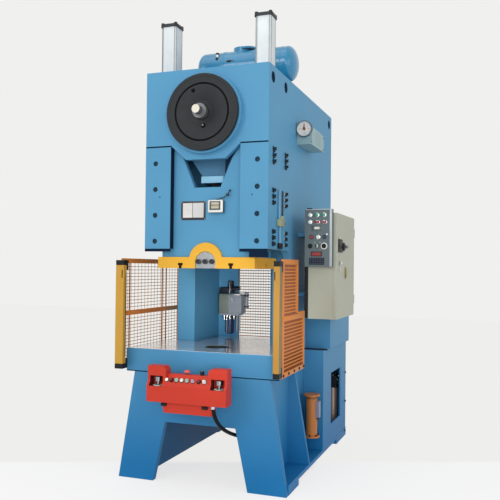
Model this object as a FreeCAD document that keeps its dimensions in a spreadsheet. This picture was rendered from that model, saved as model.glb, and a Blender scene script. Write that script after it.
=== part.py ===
"""Open-front mechanical stamping press: welded C-frame, crank drive, slide, guards and controls.

Frame of reference: millimetres, +Z up, the press faces -Y, its right-hand side is +X.
The origin is the centre of the four floor anchor holes, at floor level.
"""
import FreeCAD, Part
import Sketcher
import math
import os
import re

Vector = FreeCAD.Vector
doc = FreeCAD.newDocument("StampingPress")
sheet = doc.addObject("Spreadsheet::Sheet", "Sizes")

SIZES = {
    # frame weldment
    "head_width": 810,
    "head_top": 2521,
    "head_bottom": 1420,
    "frame_depth": 1566,
    "leg_setout": 39,
    "side_thick": 45,
    "front_thick": 40,
    "plate_thick": 25,
    "throat_depth": 480,
    "throat_radius": 120,
    "column_band": 128,
    "column_back": 913,
    "rear_opening": 250,
    "bed_height": 661,
    "bed_thick": 50,
    "bed_hole_radius": 110,
    "leg_top_width": 884,
    "foot_width": 1093,
    "arch_top_width": 457,
    "arch_foot_width": 614,
    "arch_height": 364,
    "pad_height": 35,
    "rail_thick": 25,
    "front_pad_length": 215,
    "rear_pad_length": 326,
    "rib_depth": 450,
    "anchor_pitch": 1330,
    "anchor_span": 960,
    "anchor_radius": 16.5,
    "lifting_hole_radius": 34,
    "lifting_hole_drop": 70,
    "lifting_hole_front": 79,
    "lifting_hole_middle": 337,
    "lifting_hole_edge": 54,
    "scale_slot_width": 46,
    "scale_slot_depth": 284,
    "scale_slot_bottom": 1608,
    "scale_slot_height": 180,
    # head front plate, its bearing boss and the walls behind it
    "tongue_drop": 469,
    "tongue_bottom": 1964,
    "tongue_half_width": 130,
    "boss_radius": 245,
    "boss_height": 40,
    "crank_height": 2239,
    "middle_wall_depth": 410,
    "rear_wall_depth": 1000,
    "wall_thick": 40,
    "shelf_bottom": 1310,
    "shelf_width": 400,
    "shelf_length": 340,
    # rear housings beside the base
    "housing_front": 815,
    "housing_back": 1552,
    "housing_half_width": 546,
    "housing_height": 746,
    "housing_wall": 12,
    "window_front": 1050,
    "window_length": 312,
    "window_bottom": 189,
    "window_height": 367,
    "pedestal_half_width": 575,
    "pedestal_front": 890,
    "pedestal_back": 1520,
    "pedestal_top": 975,
    "rear_cover_depth": 32,
    "rear_cover_wall": 8,
    # fits
    "running_fit": 0.05,
    "soft_gap": 0.3,
    # crank train
    "stroke": 130,
    "press_centre": 225,
    "journal_radius": 110,
    "main_bush_wall": 20,
    "rear_journal_radius": 90,
    "pin_radius": 130,
    "web_radius": 170,
    "web_thick": 50,
    "pin_length": 150,
    "stub_radius": 26,
    "stub_length": 50,
    "collar_radius": 45,
    "collar_length": 42,
    "crank_tail": 1060,
    "gear_module": 10,
    "gear_teeth": 46,
    "gear_front": 620,
    "gear_face": 120,
    "gear_hub_radius": 130,
    "gear_rim": 26,
    "gear_hub_length": 150,
    "pinion_teeth": 15,
    "pinion_shaft_radius": 45,
    "pinion_bush_wall": 15,
    "bush_overhang": 15,
    "brake_radius": 170,
    "brake_front": 1080,
    "brake_thick": 30,
    "flywheel_radius": 300,
    "flywheel_front": 1390,
    "flywheel_face": 140,
    "flywheel_rim": 60,
    "flywheel_web": 50,
    "flywheel_hub_radius": 95,
    "motor_height": 1500,
    "motor_radius": 135,
    "motor_front": 1070,
    "motor_length": 300,
    "motor_shaft_radius": 21,
    "pulley_radius": 75,
    "belt_depth": 12,
    "belt_width": 100,
    "cover_radius": 232,
    "cover_thick": 18,
    "cover_groove_radius": 171,
    "cover_groove_width": 5,
    "cover_groove_depth": 4,
    # connecting rod and slide
    "rod_ring_wall": 42,
    "rod_width": 130,
    "rod_shank_thick": 90,
    "rod_shank_top_half": 150,
    "rod_foot_thick": 170,
    "rod_foot_top": 2050,
    "rod_foot_top_half": 180,
    "rod_foot_shoulder": 1986,
    "rod_foot_shoulder_half": 155,
    "rod_ledge_bottom": 1832,
    "rod_ledge_height": 48,
    "rod_ledge_half": 80,
    "rod_ledge_proud": 5,
    "lock_nut_radius": 55,
    "lock_nut_height": 36,
    "screw_radius": 38,
    "ball_radius": 62,
    "ball_height": 1690,
    "slide_half_width": 303,
    "slide_back": 380,
    "slide_bottom": 1369,
    "slide_top": 2060,
    "slide_wall": 53,
    "slide_front_wall": 40,
    "slide_floor": 1560,
    "seat_radius": 60,
    "seat_top": 1611,
    "window_bottom_half": 86,
    "window_base": 1797,
    "window_slope": 0.42,
    "slide_plate_half_width": 320,
    "slide_plate_front": 18,
    "slide_plate_back": 432,
    "slide_plate_bottom": 1300,
    "hump_half_width": 107,
    "hump_top": 1455,
    "hump_thick": 22,
    "clamp_half_width": 66,
    "clamp_top": 1402,
    "clamp_depth": 132,
    "shank_radius": 30,
    "clamp_screw_pitch": 45,
    "clamp_screw_height": 1342,
    "clamp_nut_radius": 15,
    "clamp_nut_length": 16,
    "slot_pitch": 334,
    "slot_neck": 18,
    "slot_neck_height": 18,
    "slot_head": 32,
    "slot_head_height": 15,
    "lug_reach": 345,
    "lug_width": 60,
    "lug_height": 70,
    # guides
    "cover_plate_inner": 228,
    "cover_plate_top": 2052,
    "way_length": 80,
    "way_lip": 260,
    "cover_screw_span": 336,
    "cover_screw_bottom": 1466,
    "cover_screw_pitch": 161,
    "cover_screw_count": 4,
    "cover_screw_head": 15,
    "cover_screw_recess": 12,
    "cover_screw_shank": 8,
    "side_screw_radius": 13,
    "side_screw_length": 12,
    "side_screw_front": 92,
    "side_screw_back": 338,
    "side_screw_pitch": 37,
    "side_screw_low": 1452,
    "side_screw_middle": 1697,
    "side_screw_high": 1941,
    # balancers
    "balancer_inset": 40,
    "balancer_depth": 176,
    "balancer_side": 102,
    "balancer_corner": 20,
    "balancer_height": 329,
    "balancer_bore": 40,
    "balancer_rod_radius": 18,
    "piston_height": 30,
    "piston_bottom": 2760,
    "cap_side": 118,
    "cap_thick": 18,
    "cap_nut_radius": 11,
    "cap_nut_height": 8,
    # air receiver on the head
    "tank_depth": 640,
    "tank_radius": 118,
    "tank_height": 2697,
    "tank_half_length": 360,
    "tank_shift": 35,
    "tank_crown": 60,
    "tank_foot_span": 210,
    "tank_foot_width": 60,
    "tank_foot_depth": 180,
    "tank_port_radius": 68,
    "tank_port_height": 15,
    # bolster
    "bolster_width": 1000,
    "bolster_thick": 142,
    "bolster_back": 476,
    "bolster_tongue_half": 270,
    "bolster_tongue_back": 905,
    "drop_hole_radius": 80,
    # light curtain and guards
    "post_span": 526,
    "post_front": 139,
    "post_depth": 40,
    "left_post_width": 54,
    "right_post_width": 38,
    "post_bottom": 714,
    "post_height": 602,
    "bracket_height": 54,
    "bracket_below": 30,
    "guard_thick": 12,
    "guard_bar": 30,
    "guard_bottom": 678,
    "guard_height": 680,
    "guard_step": 1040,
    "guard_right_step_depth": 240,
    "guard_right_depth": 392,
    "guard_left_depth": 740,
    "guard_rail": 1000,
    "guard_wire": 6,
    "rear_guard_top": 1330,
    "rear_guard_thick": 10,
    # two-hand control
    "control_half_width": 250,
    "control_front": 240,
    "control_back": 160,
    "control_bottom": 525,
    "control_lip": 622,
    "control_deck": 686,
    "control_slope": 45,
    "horn_inner": 133,
    "horn_setback": 15,
    "horn_top": 732,
    "horn_radius": 28,
    "palm_span": 193,
    "palm_recess_width": 82,
    "palm_recess_depth": 47,
    "palm_recess_top": 674,
    "palm_radius": 20,
    "palm_height": 50,
    "palm_setback": 24,
    "socket_depth": 10,
    "tray_half_top": 164,
    "tray_half_bottom": 150,
    "tray_bottom": 462,
    "tray_setback": 27,
    "arm_half_width": 60,
    "arm_bottom": 545,
    "arm_height": 90,
    "stop_radius": 17,
    "stop_height": 26,
    "stop_across": -19,
    "knob_radius": 13,
    "knob_height": 24,
    "knob_across": 76,
    "box_button_radius": 9,
    "box_button_height": 8,
    "box_button_start": -66,
    "box_button_pitch": 33,
    # hose
    "hose_radius": 11,
    "gland_radius": 12.5,
    "upper_gland_length": 12,
    "lower_gland_radius": 18,
    # angle indicator
    "angle_front": 600,
    "angle_back": 950,
    "angle_reach": 97,
    "angle_bottom": 2135,
    "angle_top": 2286,
    "angle_chamfer": 40,
    "dial_radius": 54,
    "dial_thick": 28,
    "dial_across": 460,
    "dial_height": 2234,
    "pointer_hub": 10,
    "pointer_length": 34,
    "pointer_thick": 5,
    # electrical cabinet
    "cabinet_inner": 512,
    "cabinet_outer": 700,
    "cabinet_front": 521,
    "cabinet_back": 1076,
    "cabinet_bottom": 980,
    "cabinet_top": 1667,
    "cabinet_wall": 12,
    "door_thick": 22,
    "door_gap": 1,
    "hinge_low": 1060,
    "hinge_high": 1530,
    "hinge_length": 30,
    "hinge_radius": 7,
    "hinge_pin_radius": 4,
    "hinge_leaf": 4,
    "bracket_front": 640,
    "bracket_length": 320,
    "bracket_low": 1120,
    "bracket_high": 1520,
    "panel_inner": 497,
    "panel_outer": 677,
    "panel_front": 478,
    "panel_bottom": 1317,
    "panel_top": 1690,
    "switch_depth": 704,
    "switch_height": 1459,
    "switch_radius": 34,
    "switch_length": 30,
    "switch_grip": 12,
    "panel_knob_across": 626,
    "panel_knob_height": 1451,
    "panel_knob_radius": 15,
    "panel_knob_length": 16,
    "panel_button_across": 586,
    "panel_button_height": 1509,
    "panel_button_radius": 11,
    "panel_button_length": 7,
    # lubricator in the throat, reservoir, valve unit, counter
    "lubricator_left": -238,
    "lubricator_width": 176,
    "lubricator_depth": 100,
    "lubricator_clearance": 22,
    "lubricator_height": 140,
    "lubricator_head_width": 118,
    "lubricator_head_height": 95,
    "bowl_radius": 46,
    "bowl_height": 150,
    "reservoir_across": 486,
    "reservoir_depth": 735,
    "reservoir_radius": 38,
    "reservoir_flange": 56,
    "reservoir_bottom": 165,
    "reservoir_height": 290,
    "reservoir_flange_thick": 12,
    "reservoir_switch_width": 34,
    "valve_across": 480,
    "valve_depth": 1400,
    "valve_pipe_radius": 20,
    "valve_pipe_pitch": 62,
    "valve_pipe_top": 395,
    "valve_head_height": 90,
    "valve_head_inner": 40,
    "valve_head_outer": 34,
    "valve_head_overhang": 35,
    "counter_across": 66,
    "counter_width": 98,
    "counter_height": 76,
    "counter_centre": 1677,
    "counter_depth": 34,
}
for row, (alias, number) in enumerate(SIZES.items(), start=1):
    sheet.set("A%d" % row, str(number))
    sheet.setAlias("A%d" % row, alias)
doc.recompute()

WORD = re.compile(r"\b[a-z]+(?:_[a-z]+)+\b|\bstroke\b")


def bound(text):
    """The expression with every size name read from the sheet."""
    return WORD.sub(lambda found: "Sizes." + found.group(0), text)


def number(text):
    """What an expression comes to now."""
    return float(sheet.evalExpression(bound(text)))


def back(text):
    """A distance behind the head's front face, as a Y coordinate."""
    return "(%s) - (frame_depth - leg_setout) / 2" % text


def span(low, high, side=1):
    """A range across the press: as given on the right, mirrored on the left."""
    return (low, high) if side > 0 else ("-(%s)" % high, "-(%s)" % low)


def locate(item, x="0", y="0", z="0"):
    for axis, text in zip("xyz", (x, y, z)):
        item.setExpression("Placement.Base." + axis, bound(text))


def block(name, across, deep, tall):
    """A rectangular block between pairs of coordinates."""
    item = doc.addObject("Part::Box", name)
    for side, (low, high) in zip(("Length", "Width", "Height"), (across, deep, tall)):
        item.setExpression(side, bound("(%s) - (%s)" % (high, low)))
    locate(item, across[0], deep[0], tall[0])
    return item


TURN = {
    "x": FreeCAD.Rotation(Vector(0, 1, 0), 90),
    "y": FreeCAD.Rotation(Vector(1, 0, 0), -90),
    "z": FreeCAD.Rotation(),
}


def bar(name, axis, radius, start, length, x="0", y="0", z="0"):
    """A round bar that starts at `start` on its axis and runs `length` along it."""
    item = doc.addObject("Part::Cylinder", name)
    item.setExpression("Radius", bound(radius))
    item.setExpression("Height", bound(length))
    item.Placement = FreeCAD.Placement(Vector(), TURN[axis])
    place = {"x": x, "y": y, "z": z}
    place[axis] = start
    locate(item, **place)
    return item


def join(name, parts):
    item = doc.addObject("Part::MultiFuse", name)
    item.Shapes = parts
    item.Refine = True
    return item


def group(name, parts):
    item = doc.addObject("Part::Compound", name)
    item.Links = parts
    return item


def remove(name, base, tools):
    item = doc.addObject("Part::Cut", name)
    item.Base = base
    item.Tool = tools[0] if len(tools) == 1 else group(name + "_holes", tools)
    item.Refine = True
    return item


PLANES = {"YZ": "YZ_Plane", "XZ": "XZ_Plane", "XY": "XY_Plane"}


def outline(body, plane, corners, circles=()):
    """A closed sketch on one of the body's own planes.

    A corner is (u, v); with a third entry (centre_u, centre_v, bound_axis, turn) the side
    that leaves it is an arc, turning left (1) or right (-1)."""
    sketch = body.newObject("Sketcher::SketchObject", body.Name + "_sketch")
    origin = [item for item in body.Origin.OriginFeatures if item.Role == PLANES[plane]][0]
    sketch.AttachmentSupport = [(origin, "")]
    sketch.MapMode = "FlatFace"
    points = [Vector(number(c[0]), number(c[1]), 0) for c in corners]
    ends = []
    for index, corner in enumerate(corners):
        start, stop = points[index], points[(index + 1) % len(points)]
        if len(corner) == 2:
            sketch.addGeometry(Part.LineSegment(start, stop), False)
            ends.append((1, 2))
            continue
        centre = Vector(number(corner[2][0]), number(corner[2][1]), 0)
        first, last = (start, stop) if corner[2][3] > 0 else (stop, start)
        angles = [math.atan2(p.y - centre.y, p.x - centre.x) for p in (first, last)]
        if angles[1] < angles[0]:
            angles[1] += 2 * math.pi
        circle = Part.Circle(centre, Vector(0, 0, 1), (start - centre).Length)
        sketch.addGeometry(Part.ArcOfCircle(circle, *angles), False)
        ends.append((1, 2) if corner[2][3] > 0 else (2, 1))
    count = len(corners)
    for index in range(count):
        following = (index + 1) % count
        joint = Sketcher.Constraint("Coincident", index, ends[index][1], following, ends[following][0])
        sketch.addConstraint(joint)
    for index, corner in enumerate(corners):
        pairs = [("DistanceX", corner[0], ends[index][0]), ("DistanceY", corner[1], ends[index][0])]
        if len(corner) == 3:
            centre_axis = corner[2][2]
            pairs.append(("Distance" + centre_axis, corner[2]["XY".index(centre_axis)], 3))
        for kind, text, vertex in pairs:
            rule = sketch.addConstraint(Sketcher.Constraint(kind, -1, 1, index, vertex, number(text)))
            sketch.setExpression("Constraints[%d]" % rule, bound(text))
    for u, v, radius in circles:
        centre = Vector(number(u), number(v), 0)
        ring = sketch.addGeometry(Part.Circle(centre, Vector(0, 0, 1), number(radius)), False)
        for kind, text in (("DistanceX", u), ("DistanceY", v)):
            rule = sketch.addConstraint(Sketcher.Constraint(kind, -1, 1, ring, 3, number(text)))
            sketch.setExpression("Constraints[%d]" % rule, bound(text))
        rule = sketch.addConstraint(Sketcher.Constraint("Radius", ring, number(radius)))
        sketch.setExpression("Constraints[%d]" % rule, bound(radius))
    return sketch


def plate(name, plane, corners, low, high, circles=()):
    """A plate of the sketched outline, from `low` to `high` along the plane's normal axis."""
    body = doc.addObject("PartDesign::Body", name)
    sketch = outline(body, plane, corners, circles)
    pad = body.newObject("PartDesign::Pad", name + "_pad")
    pad.Profile = sketch
    pad.setExpression("Length", bound("(%s) - (%s)" % (high, low)))
    pad.Reversed = plane == "XZ"
    body.Tip = pad
    sketch.Visibility = False
    locate(body, **{{"YZ": "x", "XZ": "y", "XY": "z"}[plane]: low})
    return body


def slab(name, deep, corners, side=1, circles=()):
    """A plate that faces the front, drawn as (x, z) and mirrored for the left side."""
    flipped = [("-(%s)" % c[0],) + tuple(c[1:]) for c in corners] if side < 0 else corners
    return plate(name, "XZ", flipped, deep[0], deep[1], circles)


HALF = "head_width / 2"
INNER = "head_width / 2 - side_thick"
BALANCER_ACROSS = "(%s - balancer_inset)" % INNER
HEAD_FRONT = back("0")
BEHIND_PLATE = back("front_thick")
FRAME_BACK = back("frame_depth")
CENTRE = back("press_centre")
BED_TOP = "bed_height"
BOLSTER_TOP = "bed_height + bolster_thick"
RAIL_TOP = "pad_height + rail_thick"
SIDES = (("left", -1), ("right", 1))


# ---------------------------------------------------------------- frame weldment
def frame_side(label, side):
    """C-shaped side plate with its column box, foot rail, pads and front rib."""
    throat = back("throat_depth")
    fillet = (back("throat_depth - throat_radius"), "head_bottom - throat_radius", "X", -1)
    corners = [
        (BEHIND_PLATE, "head_bottom"), (BEHIND_PLATE, "head_top"), (FRAME_BACK, "head_top"),
        (FRAME_BACK, "pad_height"), (HEAD_FRONT, "pad_height"), (HEAD_FRONT, BED_TOP),
        (throat, BED_TOP), (throat, "head_bottom - throat_radius", None),
        (back("throat_depth - throat_radius"), "head_bottom"),
    ]
    corners[7] = (throat, "head_bottom - throat_radius",
                  (back("throat_depth - throat_radius"), "head_bottom - throat_radius", "X", 1))
    low, high = span(INNER, HALF, side)
    sheet_side = plate(label + "_plate", "YZ", corners, low, high)
    parts = [sheet_side]
    inner_face = HALF + " - column_band"
    column = ("bed_height", "head_bottom")
    parts.append(block(label + "_band", span(inner_face, INNER, side),
                       (throat, throat + " + plate_thick"), column))
    parts.append(block(label + "_column", span(inner_face, inner_face + " + plate_thick", side),
                       (throat, back("column_back + plate_thick")), column))
    parts.append(block(label + "_flange", span("rear_opening / 2", inner_face, side),
                       (back("column_back"), back("column_back + plate_thick")), column))
    foot = span(HALF, "foot_width / 2", side)
    parts.append(block(label + "_rail", foot, (HEAD_FRONT, FRAME_BACK), ("pad_height", RAIL_TOP)))
    parts.append(block(label + "_front_pad", foot, (HEAD_FRONT, back("front_pad_length")),
                       ("0", "pad_height")))
    parts.append(block(label + "_rear_pad", foot, (back("frame_depth - rear_pad_length"), FRAME_BACK),
                       ("0", "pad_height")))
    rib = [(HALF, RAIL_TOP), ("foot_width / 2", RAIL_TOP), ("leg_top_width / 2", BED_TOP),
           (HALF, BED_TOP)]
    parts.append(slab(label + "_rib", (back("rib_depth"), back("rib_depth + plate_thick")), rib, side))
    if side > 0:
        for height in ("bracket_low", "bracket_high"):
            parts.append(block(label + "_" + height, (HALF, "cabinet_inner"),
                               (back("bracket_front"), back("bracket_front + bracket_length")),
                               (height, height + " + plate_thick")))
    whole = join(label + "_weldment", parts)
    holes = []
    for deep in ("lifting_hole_front", "lifting_hole_middle", "frame_depth - lifting_hole_edge"):
        holes.append(bar(label + "_lifting_hole", "x", "lifting_hole_radius", low,
                         "(%s) - (%s)" % (high, low), y=back(deep), z="head_top - lifting_hole_drop"))
    if side > 0:
        holes.append(block(label + "_scale_slot", (low, high),
                           (back("scale_slot_depth - scale_slot_width / 2"),
                            back("scale_slot_depth + scale_slot_width / 2")),
                           ("scale_slot_bottom", "scale_slot_bottom + scale_slot_height")))
    for end in ("-", ""):
        across = ("-" if side < 0 else "") + "anchor_span / 2"
        holes.append(bar(label + "_anchor_hole", "z", "anchor_radius", "0", RAIL_TOP,
                         x=across, y=end + "anchor_pitch / 2"))
    return remove(label, whole, holes)


def frame_head():
    """Front plate with its bearing boss, top plate, two bearing walls and the motor shelf."""
    tongue = [
        ("-(head_width / 2)", "head_top - tongue_drop"), ("-cover_plate_inner", "head_top - tongue_drop"),
        ("-tongue_half_width", "tongue_bottom"), ("tongue_half_width", "tongue_bottom"),
        ("cover_plate_inner", "head_top - tongue_drop"), (HALF, "head_top - tongue_drop"),
        (HALF, "head_top"), ("-(head_width / 2)", "head_top"),
    ]
    bush = "journal_radius + main_bush_wall"
    rear_bush = "rear_journal_radius + main_bush_wall"
    pinion_bush = "pinion_shaft_radius + pinion_bush_wall"
    width = span("-(%s)" % INNER, INNER)
    under_top = "head_top - plate_thick"
    wall_end = "middle_wall_depth + wall_thick"
    parts = [
        slab("head_front", (HEAD_FRONT, BEHIND_PLATE), tongue),
        bar("head_boss", "y", "boss_radius", back("-boss_height"), "boss_height", z="crank_height"),
        block("head_top_plate", width, (BEHIND_PLATE, FRAME_BACK), (under_top, "head_top")),
        block("middle_wall", width, (back("middle_wall_depth"), back(wall_end)),
              ("head_bottom", under_top)),
        block("rear_wall", width, (back("rear_wall_depth"), back("rear_wall_depth + wall_thick")),
              ("shelf_bottom", under_top)),
        block("head_floor", width, (back(wall_end), back("rear_wall_depth")),
              ("head_bottom", "head_bottom + plate_thick")),
        block("motor_shelf", ("-shelf_width / 2", "shelf_width / 2"),
              (back("rear_wall_depth + wall_thick"), back("rear_wall_depth + wall_thick + shelf_length")),
              ("shelf_bottom", "shelf_bottom + plate_thick")),
    ]
    whole = join("head_weldment", parts)
    deep = "wall_thick * 4"
    holes = [
        bar("front_bore", "y", bush, back("-boss_height"), "boss_height + front_thick", z="crank_height"),
        bar("middle_bore", "y", bush, back("middle_wall_depth - wall_thick"), deep, z="crank_height"),
        bar("rear_bore", "y", rear_bush, back("rear_wall_depth - wall_thick"), deep, z="crank_height"),
    ]
    for place in ("middle_wall_depth", "rear_wall_depth"):
        holes.append(bar("pinion_bore", "y", pinion_bush, back(place + " - wall_thick"), deep,
                         z=PINION_HEIGHT))
    for sign in ("-", ""):
        holes.append(bar("balancer_hole", "z", "balancer_rod_radius + 4", under_top, "plate_thick",
                         x=sign + BALANCER_ACROSS, y=back("balancer_depth")))
    return remove("frame_head", whole, holes)


CENTRE_DISTANCE = "gear_module * (gear_teeth + pinion_teeth) / 2"
PINION_HEIGHT = "crank_height - gear_module * (gear_teeth + pinion_teeth) / 2"


def frame_base():
    """Flared front leg plate with its arch, and the deck that the bolster stands on."""
    legs = [
        ("-(leg_top_width / 2)", BED_TOP), ("-(foot_width / 2)", "0"), ("-(arch_foot_width / 2)", "0"),
        ("-(arch_top_width / 2)", "arch_height"), ("arch_top_width / 2", "arch_height"),
        ("arch_foot_width / 2", "0"), ("foot_width / 2", "0"), ("leg_top_width / 2", BED_TOP),
    ]
    deck_bottom = "bed_height - bed_thick"
    parts = [
        slab("leg_plate", (back("-leg_setout"), HEAD_FRONT), legs),
        block("deck", span("-(%s)" % INNER, INNER), (HEAD_FRONT, FRAME_BACK), (deck_bottom, BED_TOP)),
        block("rear_tie", span("-(%s)" % INNER, INNER),
              (back("frame_depth - plate_thick"), FRAME_BACK), ("arch_height - 60", deck_bottom)),
    ]
    whole = join("base_weldment", parts)
    hole = bar("deck_hole", "z", "bed_hole_radius", deck_bottom, "bed_thick", y=CENTRE)
    return remove("frame_base", whole, [hole])


def hollow(name, across, deep, tall, side, open_bottom=False):
    """A welded box of plates, open towards the frame."""
    outer = block(name + "_outside", span(*across, side), deep, tall)
    wall = "housing_wall"
    inside_across = span(across[0], "%s - %s" % (across[1], wall), side)
    floor = tall[0] if open_bottom else "%s + %s" % (tall[0], wall)
    inner = block(name + "_inside", inside_across,
                  ("%s + %s" % (deep[0], wall), "%s - %s" % (deep[1], wall)),
                  (floor, "%s - %s" % (tall[1], wall)))
    return remove(name + "_shell", outer, [inner])


def rear_housing(label, side):
    """Housing beside the base; the right one has a service window and carries the pedestal."""
    lower = hollow(label + "_lower", (HALF, "housing_half_width"),
                   (back("housing_front"), back("housing_back")), (RAIL_TOP, "housing_height"), side)
    if side < 0:
        item = group(label, [lower])
        return item
    upper = hollow(label + "_pedestal", (HALF, "pedestal_half_width"),
                   (back("pedestal_front"), back("pedestal_back")),
                   ("housing_height", "pedestal_top"), side)
    both = join(label + "_walls", [lower, upper])
    window = block(label + "_window", ("housing_half_width - 2 * housing_wall", "housing_half_width"),
                   (back("window_front"), back("window_front + window_length")),
                   ("window_bottom", "window_bottom + window_height"))
    return remove(label, both, [window])


def rear_cover():
    """Pressed pan that closes the back of the head over the flywheel."""
    deep = (FRAME_BACK, back("frame_depth + rear_cover_depth"))
    outer = block("rear_cover_outside", ("-(head_width / 2)", HALF), deep, ("shelf_bottom", "head_top"))
    wall = "rear_cover_wall"
    inner = block("rear_cover_inside", ("-(head_width / 2) + " + wall, HALF + " - " + wall),
                  (FRAME_BACK, deep[1] + " - " + wall),
                  ("shelf_bottom + " + wall, "head_top - " + wall))
    return remove("rear_cover", outer, [inner])


# ---------------------------------------------------------------- bearings and crank train
def bearing_cover():
    """Turned disc that closes the front main bearing, with an outer groove and two plugs."""
    front = back("-boss_height - cover_thick")
    disc = bar("cover_disc", "y", "cover_radius", front, "cover_thick", z="crank_height")
    plug = bar("cover_plug", "y", "10", front + " - 8", "12", x="13", z="crank_height - 84")
    whole = join("cover_blank", [disc, plug])
    bore = bar("cover_bore", "y", "collar_radius + 1", front, "cover_thick", z="crank_height")
    ring = remove("cover_ring", bar("ring_outer", "y", "cover_groove_radius + cover_groove_width / 2",
                                    front, "cover_groove_depth", z="crank_height"),
                  [bar("ring_inner", "y", "cover_groove_radius - cover_groove_width / 2",
                       front, "cover_groove_depth", z="crank_height")])
    eye = bar("cover_eye", "y", "9", front, "8", x="-55", z="crank_height + 131")
    return remove("bearing_cover", whole, [bore, ring, eye])


def bush(name, radius, wall, start, length, height):
    outer = bar(name + "_outside", "y", "%s + %s" % (radius, wall), start, length, z=height)
    inner = bar(name + "_inside", "y", radius, start, length, z=height)
    return remove(name, outer, [inner])


def bearing_bushes():
    """Bronze bushes: three for the crankshaft and two for the pinion shaft."""
    over = "wall_thick + 2 * bush_overhang"
    places = [
        ("front_bush", "journal_radius", "main_bush_wall", back("-boss_height"),
         "boss_height + front_thick + bush_overhang", "crank_height"),
        ("middle_bush", "journal_radius", "main_bush_wall",
         back("middle_wall_depth - bush_overhang"), over, "crank_height"),
        ("rear_bush", "rear_journal_radius", "main_bush_wall",
         back("rear_wall_depth - bush_overhang"), over, "crank_height"),
        ("pinion_front_bush", "pinion_shaft_radius", "pinion_bush_wall",
         back("middle_wall_depth - bush_overhang"), over, PINION_HEIGHT),
        ("pinion_rear_bush", "pinion_shaft_radius", "pinion_bush_wall",
         back("rear_wall_depth - bush_overhang"), over, PINION_HEIGHT),
    ]
    return group("bearing_bushes", [bush(*place) for place in places])


PIN_HEIGHT = "crank_height + stroke / 2"
PIN_FRONT = "press_centre - pin_length / 2"
PIN_BACK = "press_centre + pin_length / 2"


def crankshaft():
    """Forged crankshaft along Y, its pin straight up at the top of the stroke."""
    journal = "journal_radius - running_fit"
    tail = "rear_journal_radius - running_fit"
    collar_front = "boss_height + cover_thick + collar_length"
    web_height = "crank_height + stroke / 4"
    steps = [
        ("stub", "stub_radius", "-(%s) - stub_length" % collar_front, "-(%s)" % collar_front, "crank_height"),
        ("collar", "collar_radius", "-(%s)" % collar_front, "-boss_height + 2", "crank_height"),
        ("front_journal", journal, "-boss_height + 2", PIN_FRONT + " - web_thick", "crank_height"),
        ("front_web", "web_radius", PIN_FRONT + " - web_thick", PIN_FRONT, web_height),
        ("pin", "pin_radius - running_fit", PIN_FRONT, PIN_BACK, PIN_HEIGHT),
        ("rear_web", "web_radius", PIN_BACK, PIN_BACK + " + web_thick", web_height),
        ("middle_journal", journal, PIN_BACK + " + web_thick",
         "middle_wall_depth + wall_thick + 2 * bush_overhang", "crank_height"),
        ("tail", tail, "middle_wall_depth + wall_thick + 2 * bush_overhang", "crank_tail", "crank_height"),
    ]
    parts = [bar("crank_" + name, "y", radius, back(start), "(%s) - (%s)" % (stop, start), z=height)
             for name, radius, start, stop, height in steps]
    return join("crankshaft", parts)


def toothed(name, teeth, start, face, height, bore, turn, hub=None, lightened=False):
    """A spur gear with straight-flanked teeth, drawn by formula and cut in one sketch outline."""
    module = number("gear_module")
    count = int(round(number(teeth)))
    pitch = module * count / 2
    tip, root = pitch + 0.9 * module, pitch - 1.15 * module
    step = 2 * math.pi / count
    half_tip, half_root = 0.12 * step, 0.29 * step
    points = []
    for tooth in range(count):
        middle = (tooth + turn) * step
        for radius, angle in ((root, -half_root), (tip, -half_tip), (tip, half_tip), (root, half_root)):
            points.append(Vector(radius * math.cos(middle + angle), 0, radius * math.sin(middle + angle)))
    wheel = Part.Face(Part.makePolygon(points + points[:1])).extrude(Vector(0, number(face), 0))
    axis = Vector(0, 1, 0)
    if lightened:
        web_cut = Part.makeCylinder(root - number("gear_rim"), number(face) / 3, Vector(), axis)
        hub_core = Part.makeCylinder(number("gear_hub_radius"), number(face), Vector(), axis)
        web_cut = web_cut.cut(hub_core)
        wheel = wheel.cut(web_cut)
        web_cut.translate(Vector(0, number(face) * 2 / 3, 0))
        wheel = wheel.cut(web_cut)
    if hub:
        extra = number(hub) - number(face)
        wheel = wheel.fuse(Part.makeCylinder(number("gear_hub_radius"), number(hub),
                                             Vector(0, -extra / 2, 0), axis))
    wheel = wheel.cut(Part.makeCylinder(number(bore), 4 * number(face), Vector(0, -number(face), 0), axis))
    item = doc.addObject("Part::Feature", name)
    item.Shape = wheel.removeSplitter()
    item.Placement.Base = Vector(0, number(start), number(height))
    return item


def pinion_shaft():
    """Pinion cut on its shaft, with the brake disc behind the rear wall."""
    fit = "pinion_shaft_radius - running_fit"
    start = "middle_wall_depth - bush_overhang"
    shaft = bar("pinion_bar", "y", fit, back(start), "flywheel_front + flywheel_face + 15 - (%s)" % start,
                z=PINION_HEIGHT)
    teeth = toothed("pinion_teeth_ring", "pinion_teeth", back("gear_front - 5"), "gear_face + 10",
                    PINION_HEIGHT, fit, 0.75)
    disc = bar("brake_disc", "y", "brake_radius", back("brake_front"), "brake_thick", z=PINION_HEIGHT)
    return join("pinion_shaft", [shaft, teeth, disc])


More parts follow.
